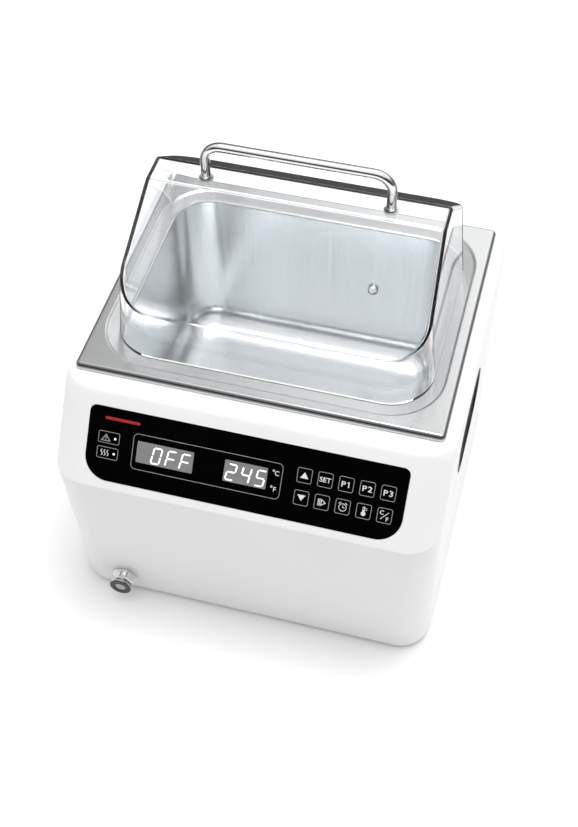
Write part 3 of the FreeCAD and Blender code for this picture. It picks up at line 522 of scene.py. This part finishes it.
def on_fascia(x, s, n):
    """Fascia frame (x along, s up the slope, n outward, mm) to metres."""
    return Vector((x, -157.7 + s * CF - n * SF, 176.2 + s * SF + n * CF)) * MM


def flat(a, b, c):
    return Vector((a, b, c)) * MM


def to_side(a, b, c):      # a along y, b along z, c along x
    return Vector((c, a, b)) * MM


def to_rear(a, b, c):      # a along x, b along z, c along y
    return Vector((a, c, b)) * MM


# ------------------------------------------------------------------ housing skin
LEAN = math.atan2(157.7 - 140.35, 176.2 - 5.0)     # lower front, from vertical
TILT = math.radians(90 - 53.6)                     # fascia, from vertical


def housing_rings(off, r_crease, r_top, z_bottom, foot):
    """Level outlines of the housing with every face moved inward by off."""
    n1 = (math.cos(LEAN), math.sin(LEAN))          # inward normals in (y, z)
    n2 = (math.cos(TILT), -math.sin(TILT))
    det = n1[0] * n2[1] - n1[1] * n2[0]
    cy = -157.7 + (off * n2[1] - off * n1[1]) / det
    cz = 176.2 + (n1[0] * off - n2[0] * off) / det
    phi = LEAN + TILT
    tl = r_crease * math.tan(phi / 2)
    ay, az = cy + math.sin(LEAN) * tl, cz - math.cos(LEAN) * tl
    oy, oz = ay + n1[0] * r_crease, az + n1[1] * r_crease
    z1 = 244.0 - off
    yt = cy + (z1 - cz) / math.tan(A53)
    tt = r_top * math.tan(A53 / 2)
    fy, fz = yt + tt, z1 - r_top
    zs_front = []                                   # (z, y) along the front outline
    low = lambda z: cy - (z - cz) * math.tan(LEAN)
    upp = lambda z: cy + (z - cz) / math.tan(A53)
    arc_lo, arc_hi = az, oz + r_crease * math.sin(TILT)
    top_lo = fz + r_top * math.sin(TILT)

    def y_of(z):
        if z <= arc_lo:
            return low(z)
        if z < arc_hi:
            return oy - math.sqrt(max(r_crease ** 2 - (z - oz) ** 2, 0))
        if z <= top_lo:
            return upp(z)
        return fy - math.sqrt(max(r_top ** 2 - (z - fz) ** 2, 0))

    zs = {z_bottom}
    if foot:
        for k in range(1, 6):
            zs.add(z_bottom + foot * (1 - math.cos(math.radians(18 * k))))
        zs.add(z_bottom + foot + 0.6)
    for z in (20, 60, 100, 140, 160):
        zs.add(float(z))
    for k in range(11):
        a = LEAN + (-TILT - LEAN) * k / 10
        zs.add(oz - r_crease * math.sin(a))
    zs.update((arc_lo - 0.7, arc_hi + 0.7, 200.0, 220.0))
    for k in range(15):
        zs.add(z1 - r_top + r_top * math.sin(math.radians(90.0 * k / 14)))
    for k in range(11):
        a = TILT + (math.pi / 2 - TILT) * k / 10
        zs.add(fz + r_top * math.sin(a))
    zs.update((z1 - r_top - 0.7, top_lo - 0.5))
    zs = sorted(zs)
    keep = [zs[0]]
    for z in zs[1:]:
        if z - keep[-1] > 0.004:
            keep.append(z)
    rings = []
    for z in keep:
        ins = 0.0
        if z > z1 - r_top:
            ins = r_top - math.sqrt(max(r_top ** 2 - (z - (z1 - r_top)) ** 2, 0))
        if foot and z < z_bottom + foot:
            ins = foot - math.sqrt(max(foot ** 2 - (z_bottom + foot - z) ** 2, 0))
        yf = y_of(z) + (ins if z < 100 else 0.0)
        hw = 160.0 - off - ins
        yb = 155.65 - off - ins
        rf = max(28.0 - off - ins, 1.0)
        rr = max(15.0 - off - ins, 1.0)
        ring = []
        for cx, cyy, r, a0, n in ((hw - rf, yf + rf, rf, 270, 24), (hw - rr, yb - rr, rr, 0, 14),
                                  (-hw + rr, yb - rr, rr, 90, 14), (-hw + rf, yf + rf, rf, 180, 24)):
            a = math.radians(a0)
            e = 0.8
            tx, ty = math.cos(a + math.pi / 2), math.sin(a + math.pi / 2)
            ring.append((cx + r * math.cos(a) - tx * e, cyy + r * math.sin(a) - ty * e, z))
            for k in range(n + 1):
                b = a + math.pi / 2 * k / n
                ring.append((cx + r * math.cos(b), cyy + r * math.sin(b), z))
            b = a + math.pi / 2
            tx, ty = math.cos(b + math.pi / 2), math.sin(b + math.pi / 2)
            ring.append((cx + r * math.cos(b) + tx * e, cyy + r * math.sin(b) + ty * e, z))
        rings.append(ring)
    return rings


def ring_mesh(rings):
    n = len(rings[0])
    vs = [Vector(p) * MM for r in rings for p in r]
    fs = []
    for k in range(len(rings) - 1):
        for i in range(n):
            j = (i + 1) % n
            fs.append([k * n + i, k * n + j, (k + 1) * n + j, (k + 1) * n + i])
    fs.append(list(range(n))[::-1])
    top = (len(rings) - 1) * n
    fs.append([top + i for i in range(n)])
    return vs, fs


skin = link_mesh("housing_skin", *ring_mesh(housing_rings(0.0, 3.2, 12.0, 5.0, 1.5)), MATS["housing_white"])
core = link_mesh("core", *ring_mesh(housing_rings(3.0, 1.0, 9.0, -5.0, 0.0)), MATS["housing_white"])
boolean(skin, core)
cut = []
cut.append(prism(round_rect(-142.4, 142.4, -87.25, 135.05, 47.4, n=16), flat, 200, 300))
cut.append(prism(round_rect(-129.85, 129.85, 7.3, 68.9, 20.25, 5.75, n=16), on_fascia, -1.0, 5.0))
U = lambda u: u - 129.6
W = lambda v: 68.65 - v
KEY_U = [178.5, 195.1, 211.75, 228.4, 245.0]
KEY_V = [22.3, 40.7]
wins = [(U(KEY_U[0]) - 8.2, U(KEY_U[-1]) + 8.2, W(KEY_V[1]) - 8.4, W(KEY_V[0]) + 8.4, 3.0)]
for a, b, c, d in ((41.9, 88.9, 22.4, 40.2), (114.3, 149.3, 22.4, 40.2)):
    wins.append((U(a) - 0.5, U(b) + 0.5, W(d) - 0.5, W(c) + 0.5, 1.0))
LEDS = [(23.2, 25.2), (23.4, 37.8), (158.6, 26.2), (158.4, 38.6)]
cutters = [join_parts(cut)]
second = [prism(round_rect(a, b, c, d, r, n=6), on_fascia, -6.0, -0.5) for a, b, c, d, r in wins]
for u, v in LEDS:
    second.append(prism([(U(u) + 1.5 * math.cos(k * math.pi / 8), W(v) + 1.5 * math.sin(k * math.pi / 8)) for k in range(16)],
                        on_fascia, -6.0, -0.5))
for sgn in (1, -1):
    lo, hi = (150.0, 165.0) if sgn > 0 else (-165.0, -150.0)
    second.append(prism(round_rect(-51.3, 41.3, 137.7, 198.3, 28.3, n=20), to_side, lo, hi))
second.append(prism([(-114 + 7.3 * math.cos(k * math.pi / 20), 25.5 + 7.3 * math.sin(k * math.pi / 20)) for k in range(40)],
                    to_rear, -170.0, -120.0))
second.append(prism(round_rect(93.8, 122.2, 41.3, 62.7, 3.0, n=6), to_rear, 140, 170))
second.append(prism(round_rect(94.1, 121.9, 82.6, 101.4, 1.0, n=4), to_rear, 140, 170))
for i in range(7):
    z = 44.0 + 9.0 * i
    second.append(prism(round_rect(-112.0, -48.0, z, z + 3.6, 1.79, n=8), to_rear, 140, 170))
for dx in (-20.0, 20.0):
    second.append(prism([(108 + dx + 1.7 * math.cos(k * math.pi / 12), 52 + 1.7 * math.sin(k * math.pi / 12)) for k in range(24)],
                        to_rear, 140, 170))
cutters.append(join_parts(second))
for k, (v, f) in enumerate(cutters):
    c = link_mesh("cutter", v, f, MATS["housing_white"])
    bm = bmesh.new()
    bm.from_mesh(c.data)
    bmesh.ops.recalc_face_normals(bm, faces=bm.faces)
    bm.to_mesh(c.data)
    bm.free()
    boolean(skin, c)
smooth(skin.data, 28)
wn = skin.modifiers.new("wn", "WEIGHTED_NORMAL")
wn.keep_sharp = True
wn.weight = 60
baked(skin)
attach(skin, "base")
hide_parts("housing_shell")


# ------------------------------------------------------------------ tank skin
def rect_ring(x, y0, y1, r, z, n=18, e=0.8):
    """Level rounded outline with a support point beside each end of every arc."""
    out = []
    r = max(r, 0.15)
    for cx, cy, a0 in ((x - r, y0 + r, 270), (x - r, y1 - r, 0), (-x + r, y1 - r, 90), (-x + r, y0 + r, 180)):
        a = math.radians(a0)
        tx, ty = math.cos(a + math.pi / 2), math.sin(a + math.pi / 2)
        out.append((cx + r * math.cos(a) - tx * e, cy + r * math.sin(a) - ty * e, z))
        for k in range(n + 1):
            b = a + math.pi / 2 * k / n
            out.append((cx + r * math.cos(b), cy + r * math.sin(b), z))
        b = a + math.pi / 2
        tx, ty = math.cos(b + math.pi / 2), math.sin(b + math.pi / 2)
        out.append((cx + r * math.cos(b) + tx * e, cy + r * math.sin(b) + ty * e, z))
    return out


def tank_path():
    """(x, y0, y1, r, z) outlines and outward normal (towards the tank's inside/up) of the top surface."""
    P = []                         # (inset from the deck outline, z, nx, nz)
    DX, D0, D1 = 150.0, -95.35, 143.65
    R1 = 3.6
    path = [(0.0, 245.0, -1, 0), (0.0, 245.6, -1, 0), (0.0, 246.0, -1, 0)]
    for k in range(1, 10):
        a = math.radians(90 * k / 9)
        path.append((R1 * (1 - math.cos(a)), 250 - R1 + R1 * math.sin(a), -math.cos(a), math.sin(a)))
    path.append((R1 + 0.7, 250.0, 0, 1))
    out = [(DX - i, D0 + i, D1 - i, 4.5 - min(i, 4.2), z, nx, nz) for i, z, nx, nz in path]
    # from here insets are measured from the opening outline, whose corners are R45
    OX, O0, O1, OR = 140.0, -84.85, 132.65, 45.0
    sl = math.radians(8.0)        # the ledge passes just under the lid foot, inset 9.6 mm, at z 247.45
    rl = 2.2                        # lip rounding
    c_in, c_z = -1.2, 250.0 - rl
    q = [(c_in - 0.7, 250.0, 0, 1), (c_in, 250.0, 0, 1)]
    for k in range(1, 6):
        a = math.radians(58.0 * k / 5)
        q.append((c_in + rl * math.sin(a), c_z + rl * math.cos(a), math.sin(a), math.cos(a)))
    # short lip wall, then the dished ledge
    lip_i, lip_z = q[-1][0], q[-1][1]
    li, lz = lip_i + 0.30, lip_z - 0.22
    q.append((li, lz, math.sin(math.radians(50)), math.cos(math.radians(50))))
    # small fillet into the ledge
    q.append((li + 0.45, lz - 0.14, math.sin(math.radians(30)), math.cos(math.radians(30))))
    bi = li + 1.0
    bz = 247.45 + (9.6 - bi) * math.tan(sl)
    q.append((bi, bz, math.sin(sl), math.cos(sl)))
    brink_i = 13.0
    q.append((brink_i - 0.7, bz - (brink_i - 0.7 - bi) * math.tan(sl), math.sin(sl), math.cos(sl)))
    ez = bz - (brink_i - bi) * math.tan(sl)
    rb = 1.0 / (1 - math.sin(sl))
    for k in range(6):
        a = sl + (math.pi / 2 - sl) * k / 5
        q.append((brink_i + (math.sin(a) - math.sin(sl)) * rb, ez - (math.cos(sl) - math.cos(a)) * rb, math.sin(a), math.cos(a)))
    wall_i = q[-1][0]
    q.append((wall_i, q[-1][1] - 1.0, 1, 0))
    q.append((wall_i, 200.0, 1, 0))
    q.append((wall_i, 160.0, 1, 0))
    fr = 25.0
    q.append((wall_i, 95.0 + fr + 1.0, 1, 0))
    for k in range(13):
        a = math.radians(90 * k / 12)
        q.append((wall_i + fr * (1 - math.cos(a)), 95.0 + fr * (1 - math.sin(a)), math.cos(a), math.sin(a)))
    q.append((wall_i + fr + 1.0, 95.0, 0, 1))
    out += [(OX - i, O0 + i, O1 - i, OR - i, z, nx, nz) for i, z, nx, nz in q]
    return out


def tank_mesh():
    top = tank_path()
    T = 1.5
    rings = [rect_ring(x, a, b, r, z) for x, a, b, r, z, nx, nz in top]
    under = [rect_ring(x + nx * T, a - nx * T, b + nx * T, r + (nx * T if r > 6 else 0.0), z - nz * T)
             for x, a, b, r, z, nx, nz in top]
    n = len(rings[0])
    allr = rings + under[::-1]
    vs = [Vector(p) * MM for r in allr for p in r]
    fs = []
    m = len(rings)
    for k in range(len(allr) - 1):
        if k == m - 1:
            continue
        for i in range(n):
            j = (i + 1) % n
            fs.append([k * n + i, k * n + j, (k + 1) * n + j, (k + 1) * n + i])
    last = (len(allr) - 1) * n
    for i in range(n):                 # close the sheet's edge at the foot of the skirt
        j = (i + 1) % n
        fs.append([last + i, last + j, j, i])
    fs.append([(m - 1) * n + i for i in range(n)])
    fs.append([m * n + i for i in range(n)][::-1])
    return vs, fs


tank = link_mesh("tank_skin", *tank_mesh(), MATS["tank_steel"])
bm = bmesh.new()
bm.from_mesh(tank.data)
bmesh.ops.recalc_face_normals(bm, faces=bm.faces)
bm.to_mesh(tank.data)
bm.free()
hole = link_mesh("hole", *join_parts([
    prism([(-84 + 6.15 * math.cos(k * math.pi / 20), -32 + 6.15 * math.sin(k * math.pi / 20)) for k in range(40)], flat, 80, 110),
    prism([(48.9 + 3.3 * math.cos(k * math.pi / 16), PROBE_Z + 3.3 * math.sin(k * math.pi / 16)) for k in range(32)], to_rear, 112, 126)]),
    MATS["tank_steel"])
bm = bmesh.new()
bm.from_mesh(hole.data)
bmesh.ops.recalc_face_normals(bm, faces=bm.faces)
bm.to_mesh(hole.data)
bm.free()
boolean(tank, hole)
smooth(tank.data, 32)
wn = tank.modifiers.new("wn", "WEIGHTED_NORMAL")
wn.keep_sharp = True
wn.weight = 60
baked(tank)
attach(tank, "base")
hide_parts("tank_pan")

# sensor button on the tank's rear wall: a low turned cap with a rolled rim and a stem through the wall
prof = [(0.0, 1.9), (3.2, 1.9), (3.6, 2.0), (3.9, 2.7), (4.3, 2.98), (4.6, 2.7), (4.7, 2.2), (4.7, 0.5), (4.7, 0.0), (3.0, 0.0), (3.0, -13.0), (0.0, -13.0)]
vs, fs = [], []
N = 48
for r, h in prof:
    for k in range(N):
        a = 2 * math.pi * k / N
        vs.append(Vector((48.9 + r * math.cos(a), 118.65 - h, PROBE_Z + r * math.sin(a))) * MM)
for j in range(len(prof) - 1):
    for k in range(N):
        l = (k + 1) % N
        fs.append([j * N + k, j * N + l, (j + 1) * N + l, (j + 1) * N + k])
probe = link_mesh("sensor_button", vs, fs, MATS["tank_steel"])
bm = bmesh.new()
bm.from_mesh(probe.data)
bmesh.ops.remove_doubles(bm, verts=bm.verts, dist=1e-6)
bmesh.ops.recalc_face_normals(bm, faces=bm.faces)
bm.to_mesh(probe.data)
bm.free()
rim_t = Tree("sensor_rim")
rim_t.put(Metallic=1.0)
_, _, rz = rim_t.xyz()
# painted shade: below the button's centre the rim is coloured near black, above it bright steel, as a lit top over a
# shaded underside
shade = rim_t.remap(rz, (PROBE_Z - 2.6) * MM, (PROBE_Z + 0.4) * MM, 0.0, 1.0)
rn = rim_t.noise(900.0, 2.0)
rim_t.color(rim_t.mixcol(shade, (0.03, 0.03, 0.032), rim_t.mixcol(rn, (0.92, 0.925, 0.93), (0.97, 0.975, 0.98))))
rim_t.rough(rim_t.remap(rn, 0.3, 0.7, 0.12, 0.18))
probe.data.materials.append(rim_t.mat)
for pl in probe.data.polygons:
    if math.hypot(pl.center.x - 0.0489, pl.center.z - PROBE_Z * MM) > 0.0036:
        pl.material_index = 1
smooth(probe.data, 40)
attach(probe, "base")
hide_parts("temperature_probe")


# ------------------------------------------------------------------ panel print
PANEL = Matrix(((1, 0, 0, -0.1296), (0, CF, -SF, (-157.7 + 68.65 * CF) * MM),
                (0, SF, CF, (176.2 + 68.65 * SF) * MM), (0, 0, 0, 1)))
INK_T = 0.05       # print thickness, mm


def curve_mesh(splines, mat, name, n0):
    """Filled 2-D outlines (u right, v down, mm) as a thin closed plate from n0 to n0 + INK_T."""
    cu = bpy.data.curves.new(name, "CURVE")
    cu.dimensions = "2D"
    cu.fill_mode = "BOTH"
    cu.extrude = 0.5 * INK_T * MM
    for pts in splines:
        sp = cu.splines.new("POLY")
        sp.points.add(len(pts) - 1)
        for p, (u, v) in zip(sp.points, pts):
            p.co = (u * MM, -v * MM, 0, 1)
        sp.use_cyclic_u = True
    ob = bpy.data.objects.new(name, cu)
    SC.collection.objects.link(ob)
    dg = bpy.context.evaluated_depsgraph_get()
    me = bpy.data.meshes.new_from_object(ob.evaluated_get(dg), depsgraph=dg)
    bpy.data.objects.remove(ob)
    me.transform(PANEL @ Matrix.Translation((0, 0, (n0 + 0.5 * INK_T) * MM)))
    me.materials.clear()
    me.materials.append(mat)
    return me


def text_mesh(txt, u, v, h, mat, n0, bold=0.0, squeeze=1.0):
    """Generic legend centred at (u, v), capital height h mm."""
    cu = bpy.data.curves.new("legend", "FONT")
    cu.body = txt
    cu.align_x, cu.align_y = "CENTER", "CENTER"
    cu.size = h * MM / 0.70
    cu.extrude = 0.5 * INK_T * MM
    cu.offset = bold * MM
    ob = bpy.data.objects.new("legend", cu)
    SC.collection.objects.link(ob)
    dg = bpy.context.evaluated_depsgraph_get()
    me = bpy.data.meshes.new_from_object(ob.evaluated_get(dg), depsgraph=dg)
    bpy.data.objects.remove(ob)
    co = np.array([p.co for p in me.vertices], float)
    mid = 0.5 * (co.min(0) + co.max(0))
    me.transform(PANEL @ Matrix.Translation((u * MM, -v * MM, (n0 + 0.5 * INK_T) * MM))
                 @ Matrix.Diagonal((squeeze, 1, 1, 1)) @ Matrix.Translation((-mid[0], -mid[1], 0)))
    me.materials.clear()
    me.materials.append(mat)
    return me


def merge(name, meshes, body):
    bm = bmesh.new()
    mats = []
    for me in meshes:
        m = me.materials[0]
        if m not in mats:
            mats.append(m)
        k = mats.index(m)
        before = len(bm.faces)
        bm.from_mesh(me)
        bm.faces.ensure_lookup_table()
        for f in bm.faces[before:]:
            f.material_index = k
            f.smooth = False
    out = bpy.data.meshes.new(name)
    bmesh.ops.remove_doubles(bm, verts=bm.verts, dist=1e-7)
    bm.to_mesh(out)
    bm.free()
    for m in mats:
        out.materials.append(m)
    ob = bpy.data.objects.new(name, out)
    SC.collection.objects.link(ob)
    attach(ob, body)
    return ob


def frame_outline(u0, u1, v0, v1, r, w):
    a = round_rect(u0, u1, v0, v1, r, n=6)
    b = round_rect(u0 + w, u1 - w, v0 + w, v1 - w, max(r - w, 0.2), n=6)
    return [a, b]


def stroke(u0, v0, u1, v1, w):
    """Straight stroke with pointed ends, as on a lit segment."""
    dx, dy = u1 - u0, v1 - v0
    l = math.hypot(dx, dy)
    dx, dy = dx / l, dy / l
    px, py = -dy * w / 2, dx * w / 2
    e = w * 0.5
    return [(u0, v0), (u0 + dx * e + px, v0 + dy * e + py), (u1 - dx * e + px, v1 - dy * e + py), (u1, v1),
            (u1 - dx * e - px, v1 - dy * e - py), (u0 + dx * e - px, v0 + dy * e - py)]


def bar(u0, v0, u1, v1, w):
    dx, dy = u1 - u0, v1 - v0
    l = math.hypot(dx, dy)
    px, py = -dy / l * w / 2, dx / l * w / 2
    return [(u0 + px, v0 + py), (u1 + px, v1 + py), (u1 - px, v1 - py), (u0 - px, v0 - py)]


def circle(u, v, r, n=28, a0=0.0, a1=360.0):
    return [(u + r * math.cos(math.radians(a0 + (a1 - a0) * k / n)), v + r * math.sin(math.radians(a0 + (a1 - a0) * k / n)))
            for k in range(n)]


SEGS = {"a": (0, 0, 1, 0), "b": (1, 0, 1, 1), "c": (1, 1, 1, 2), "d": (0, 2, 1, 2), "e": (0, 1, 0, 2), "f": (0, 0, 0, 1), "g": (0, 1, 1, 1)}
GLYPH = {"0": "abcdef", "F": "aefg", "2": "abged", "4": "fgbc", "5": "afgcd"}


def digit(ch, uc):
    v0, h, w, sl = 25.6, 6.45, 6.7, 0.165
    out = []
    for s in GLYPH[ch]:
        x0, y0, x1, y1 = SEGS[s]

        def at(x, y):
            vv = v0 + y * h
            return uc + (x - 0.5) * w - (vv - 32.0) * sl, vv
        p, q = at(x0, y0), at(x1, y1)
        dx, dy = q[0] - p[0], q[1] - p[1]
        l = math.hypot(dx, dy)
        g = 0.16
        out.append(stroke(p[0] + dx / l * g, p[1] + dy / l * g, q[0] - dx / l * g, q[1] - dy / l * g, 1.35))
    return out


FACE, GLASS = 0.25, 0.20
base_print = []
base_print.append(curve_mesh(frame_outline(38.2, 161.2, 16.6, 46.4, 4.0, 0.48), INK_GREY, "p", FACE))
base_print.append(curve_mesh(frame_outline(9.1, 26.9, 20.0, 29.9, 1.6, 0.45), INK_GREY, "p", FACE))
base_print.append(curve_mesh(frame_outline(9.1, 26.9, 32.9, 42.8, 1.6, 0.45), INK_GREY, "p", FACE))
# alert triangle
tri = [[(15.5, 22.0), (19.7, 28.1), (11.3, 28.1)], [(15.5, 23.5), (18.25, 27.4), (12.75, 27.4)]]
base_print.append(curve_mesh(tri, INK_GREY, "p", FACE))
base_print.append(curve_mesh([bar(15.5, 24.4, 15.5, 26.1, 0.75)], INK_GREY, "p", FACE))
base_print.append(curve_mesh([bar(15.5, 26.5, 15.5, 27.1, 0.75)], INK_GREY, "p", FACE))
# heat waves
for cu_ in (13.2, 15.7, 18.2):
    pts_l, pts_r = [], []
    for k in range(17):
        tt = k / 16
        vv = 35.2 + 5.2 * tt
        uu = cu_ - 0.75 * math.sin(tt * 2 * math.pi) + 0.6 * (0.5 - tt)
        pts_l.append((uu - 0.36, vv))
        pts_r.append((uu + 0.36, vv))
    base_print.append(curve_mesh([pts_l + pts_r[::-1]], INK_WHITE, "p", FACE))
base_print.append(text_mesh("C", 156.8, 25.2, 3.8, INK_WHITE, FACE, bold=0.05))
base_print.append(text_mesh("F", 156.7, 38.4, 3.8, INK_WHITE, FACE, bold=0.05))
for vv in (23.4, 36.6):
    base_print.append(curve_mesh([circle(153.9, vv, 0.85, 20), circle(153.9, vv, 0.38, 16)], INK_WHITE, "p", FACE))
# plain accent bar
base_print.append(curve_mesh([round_rect(13.0, 42.5, 7.6, 10.0, 1.15, n=6)], MARK_RED, "p", FACE))
merge("panel_print", base_print, "base")

seg = []
for ch, uc in (("0", 58.7), ("F", 70.6), ("F", 82.3), ("2", 120.3), ("4", 132.3), ("5", 144.2)):
    for s in digit(ch, uc):
        seg.append(curve_mesh([s], SEG_LIT, "p", GLASS))
merge("display_segments", seg, "base")


def key_print(name, extra):
    row = 0 if name in ("key_up", "key_set", "key_p1", "key_p2", "key_p3") else 1
    col = {"key_up": 0, "key_set": 1, "key_p1": 2, "key_p2": 3, "key_p3": 4,
           "key_down": 0, "key_start": 1, "key_timer": 2, "key_probe": 3, "key_unit": 4}[name]
    u, v = KEY_U[col], KEY_V[row]
    parts = [curve_mesh(frame_outline(u - 5.95, u + 5.95, v - 6.15, v + 6.15, 1.7, 0.46), INK_GREY, "p", FACE)]
    for kind, data in extra(u, v):
        if kind == "c":
            parts.append(curve_mesh(data, INK_WHITE, "p", FACE))
        else:
            parts.append(text_mesh(*data[:4], INK_WHITE, FACE, **data[4]))
    merge(name.replace("key_", "legend_"), parts, name)


key_print("key_up", lambda u, v: [("c", [[(u, v - 2.8), (u + 3.3, v + 2.3), (u - 3.3, v + 2.3)]])])
key_print("key_down", lambda u, v: [("c", [[(u, v + 2.3), (u - 3.3, v - 2.5), (u + 3.3, v - 2.5)]])])
key_print("key_set", lambda u, v: [("t", ("SET", u, v, 3.9, dict(bold=0.07, squeeze=1.06)))])
def one_shape(u, v, h):
    t_, b_ = v - h / 2, v + h / 2
    return [[(u - 1.25, t_ + 1.35), (u - 1.25, t_ + 0.7), (u - 0.2, t_), (u + 0.45, t_), (u + 0.45, b_), (u - 0.35, b_), (u - 0.35, t_ + 0.95)]]


def program_sign(ch):
    def sign(u, v):
        out = [("t", ("P", u - 2.1, v + 0.1, 4.5, dict(bold=0.09, squeeze=1.14)))]
        if ch == "1":
            out.append(("c", one_shape(u + 2.0, v + 0.1, 4.7)))
        else:
            out.append(("t", (ch, u + 2.15, v + 0.1, 4.5, dict(bold=0.09, squeeze=1.14))))
        return out
    return sign


key_print("key_p1", program_sign("1"))
key_print("key_p2", program_sign("2"))
key_print("key_p3", program_sign("3"))


def start_sign(u, v):
    out = [("c", [bar(u - 2.9, v - 2.8, u - 2.9, v + 3.1, 0.6)]), ("c", [bar(u - 1.7, v - 2.8, u - 1.7, v + 3.1, 0.6)])]
    out.append(("c", [[(u - 0.8, v - 2.9), (u + 3.4, v + 0.1), (u - 0.8, v + 3.1)],
                      [(u - 0.15, v - 1.7), (u + 2.3, v + 0.1), (u - 0.15, v + 1.9)]]))
    return out


def clock_sign(u, v):
    out = [("c", [circle(u, v + 0.5, 3.2, 40), circle(u, v + 0.5, 2.72, 40)])]
    out.append(("c", [bar(u, v - 1.2, u, v + 0.9, 0.5)]))
    out.append(("c", [bar(u + 0.25, v + 0.65, u + 1.6, v + 0.65, 0.5)]))
    for sg in (-1, 1):
        out.append(("c", [bar(u + sg * 1.7, v - 3.5, u + sg * 3.4, v - 2.2, 0.62)]))
    return out


def probe_sign(u, v):
    stem = round_rect(u - 1.0, u + 1.0, v - 3.8, v + 0.6, 0.95, n=6)
    out = [("c", [stem, round_rect(u - 0.45, u + 0.45, v - 3.2, v - 1.0, 0.4, n=4)])]
    out.append(("c", [circle(u, v + 2.0, 1.85, 30)]))
    for vv in (-2.6, -1.2):
        out.append(("c", [bar(u + 1.5, v + vv, u + 2.6, v + vv, 0.45)]))
    return out


def unit_sign(u, v):
    return [("t", ("C", u - 2.4, v - 2.3, 3.3, dict(bold=0.06))), ("t", ("F", u + 2.4, v + 2.6, 3.3, dict(bold=0.06))),
            ("c", [bar(u + 2.9, v - 2.9, u - 2.9, v + 3.1, 0.5)])]


key_print("key_start", start_sign)
key_print("key_timer", clock_sign)
key_print("key_probe", probe_sign)
key_print("key_unit", unit_sign)


# ------------------------------------------------------------------ studio
floor_me = bpy.data.meshes.new("studio_floor")
bm = bmesh.new()
bmesh.ops.create_circle(bm, cap_ends=True, radius=4.0, segments=96)
bm.to_mesh(floor_me)
bm.free()
floor = bpy.data.objects.new("studio_floor", floor_me)
SC.collection.objects.link(floor)
t = Tree("studio_floor")
n = t.noise(3.0, 2.0)
c = t.mixcol(t.remap(n, 0.3, 0.7, 0.0, 1.0), grey(0.83), grey(0.84))
t.color(c)
t.put(Roughness=0.9, Specular_IOR_Level=0.0)
t.put(Emission_Color=(1, 1, 1, 1), Emission_Strength=0.08)
floor_me.materials.append(t.mat)

world = bpy.data.worlds.new("studio")
SC.world = world
world.use_nodes = True
wt = world.node_tree
wt.nodes.clear()
w_out = wt.nodes.new("ShaderNodeOutputWorld")
bg = wt.nodes.new("ShaderNodeBackground")
tc = wt.nodes.new("ShaderNodeTexCoord")
sep = wt.nodes.new("ShaderNodeSeparateXYZ")
wt.links.new(tc.outputs["Generated"], sep.inputs[0])


def w_math(op, a, b=None, c=None):
    m = wt.nodes.new("ShaderNodeMath")
    m.operation = op
    for i, v in enumerate((a, b, c)):
        if v is None:
            continue
        if isinstance(v, (int, float)):
            m.inputs[i].default_value = v
        else:
            wt.links.new(v, m.inputs[i])
    return m.outputs[0]


def w_range(src, a, b, lo, hi, smooth_step=True):
    m = wt.nodes.new("ShaderNodeMapRange")
    m.interpolation_type = "SMOOTHSTEP" if smooth_step else "LINEAR"
    m.inputs["From Min"].default_value = a
    m.inputs["From Max"].default_value = b
    m.inputs["To Min"].default_value = lo
    m.inputs["To Max"].default_value = hi
    wt.links.new(src, m.inputs["Value"])
    return m.outputs["Result"]


dx, dy_, dz = sep.outputs[0], sep.outputs[1], sep.outputs[2]
dome = w_range(dz, 0.0, 0.9, 0.62, 0.85)
# darker low region in front of the fascia
front = w_range(dy_, -0.15, -0.70, 0.0, 1.0)
low = w_range(dz, 0.64, 0.42, 0.0, 1.0)
dome = w_math("MULTIPLY", dome, w_math("SUBTRACT", 1.0, w_math("MULTIPLY", w_math("MULTIPLY", front, low), 0.92)))
# right side low: dimmer too
side = w_range(dx, 0.35, 0.8, 0.0, 1.0)
lowr = w_range(dz, 0.6, 0.2, 0.0, 1.0)
dome = w_math("MULTIPLY", dome, w_math("SUBTRACT", 1.0, w_math("MULTIPLY", w_math("MULTIPLY", side, lowr), 0.72)))
# tall bright panel behind, ending below the overhead box and fading to the left
behind = w_range(dy_, 0.15, 0.5, 0.0, 1.0)
panel_z = w_range(dz, 0.88, 0.72, 0.0, 1.0)
panel_x = w_range(dx, -0.36, -0.02, 0.12, 1.0)
bright = w_math("MULTIPLY", w_math("MULTIPLY", panel_z, panel_x), 1.25)
shade = w_math("SUBTRACT", w_math("ADD", 0.42, bright), 1.0)
dome = w_math("MULTIPLY", dome, w_math("ADD", 1.0, w_math("MULTIPLY", shade, behind)))
# broad overhead softbox
top = w_range(dz, 0.84, 0.96, 0.0, 0.9)
dome = w_math("ADD", dome, top)
dome = w_math("MULTIPLY", dome, 1.15)
lp = wt.nodes.new("ShaderNodeLightPath")
mixv = wt.nodes.new("ShaderNodeMix")
mixv.data_type = "FLOAT"
wt.links.new(lp.outputs["Is Camera Ray"], mixv.inputs[0])
wt.links.new(dome, mixv.inputs[2])
mixv.inputs[3].default_value = 1.0
bg.inputs["Color"].default_value = (1, 1, 1, 1)
wt.links.new(mixv.outputs[0], bg.inputs["Strength"])
wt.links.new(bg.outputs[0], w_out.inputs[0])


def area(name, loc, target, size, power, size_y=None):
    ld = bpy.data.lights.new(name, "AREA")
    ld.energy = power
    ld.size = size
    if size_y:
        ld.shape = "RECTANGLE"
        ld.size_y = size_y
    ob = bpy.data.objects.new(name, ld)
    SC.collection.objects.link(ob)
    ob.location = loc
    ob.rotation_euler = (Vector(target) - Vector(loc)).to_track_quat("-Z", "Y").to_euler()
    return ob


area("key_light", (0.32, 0.10, 2.5), (0, 0, 0.2), 1.0, 26.0)
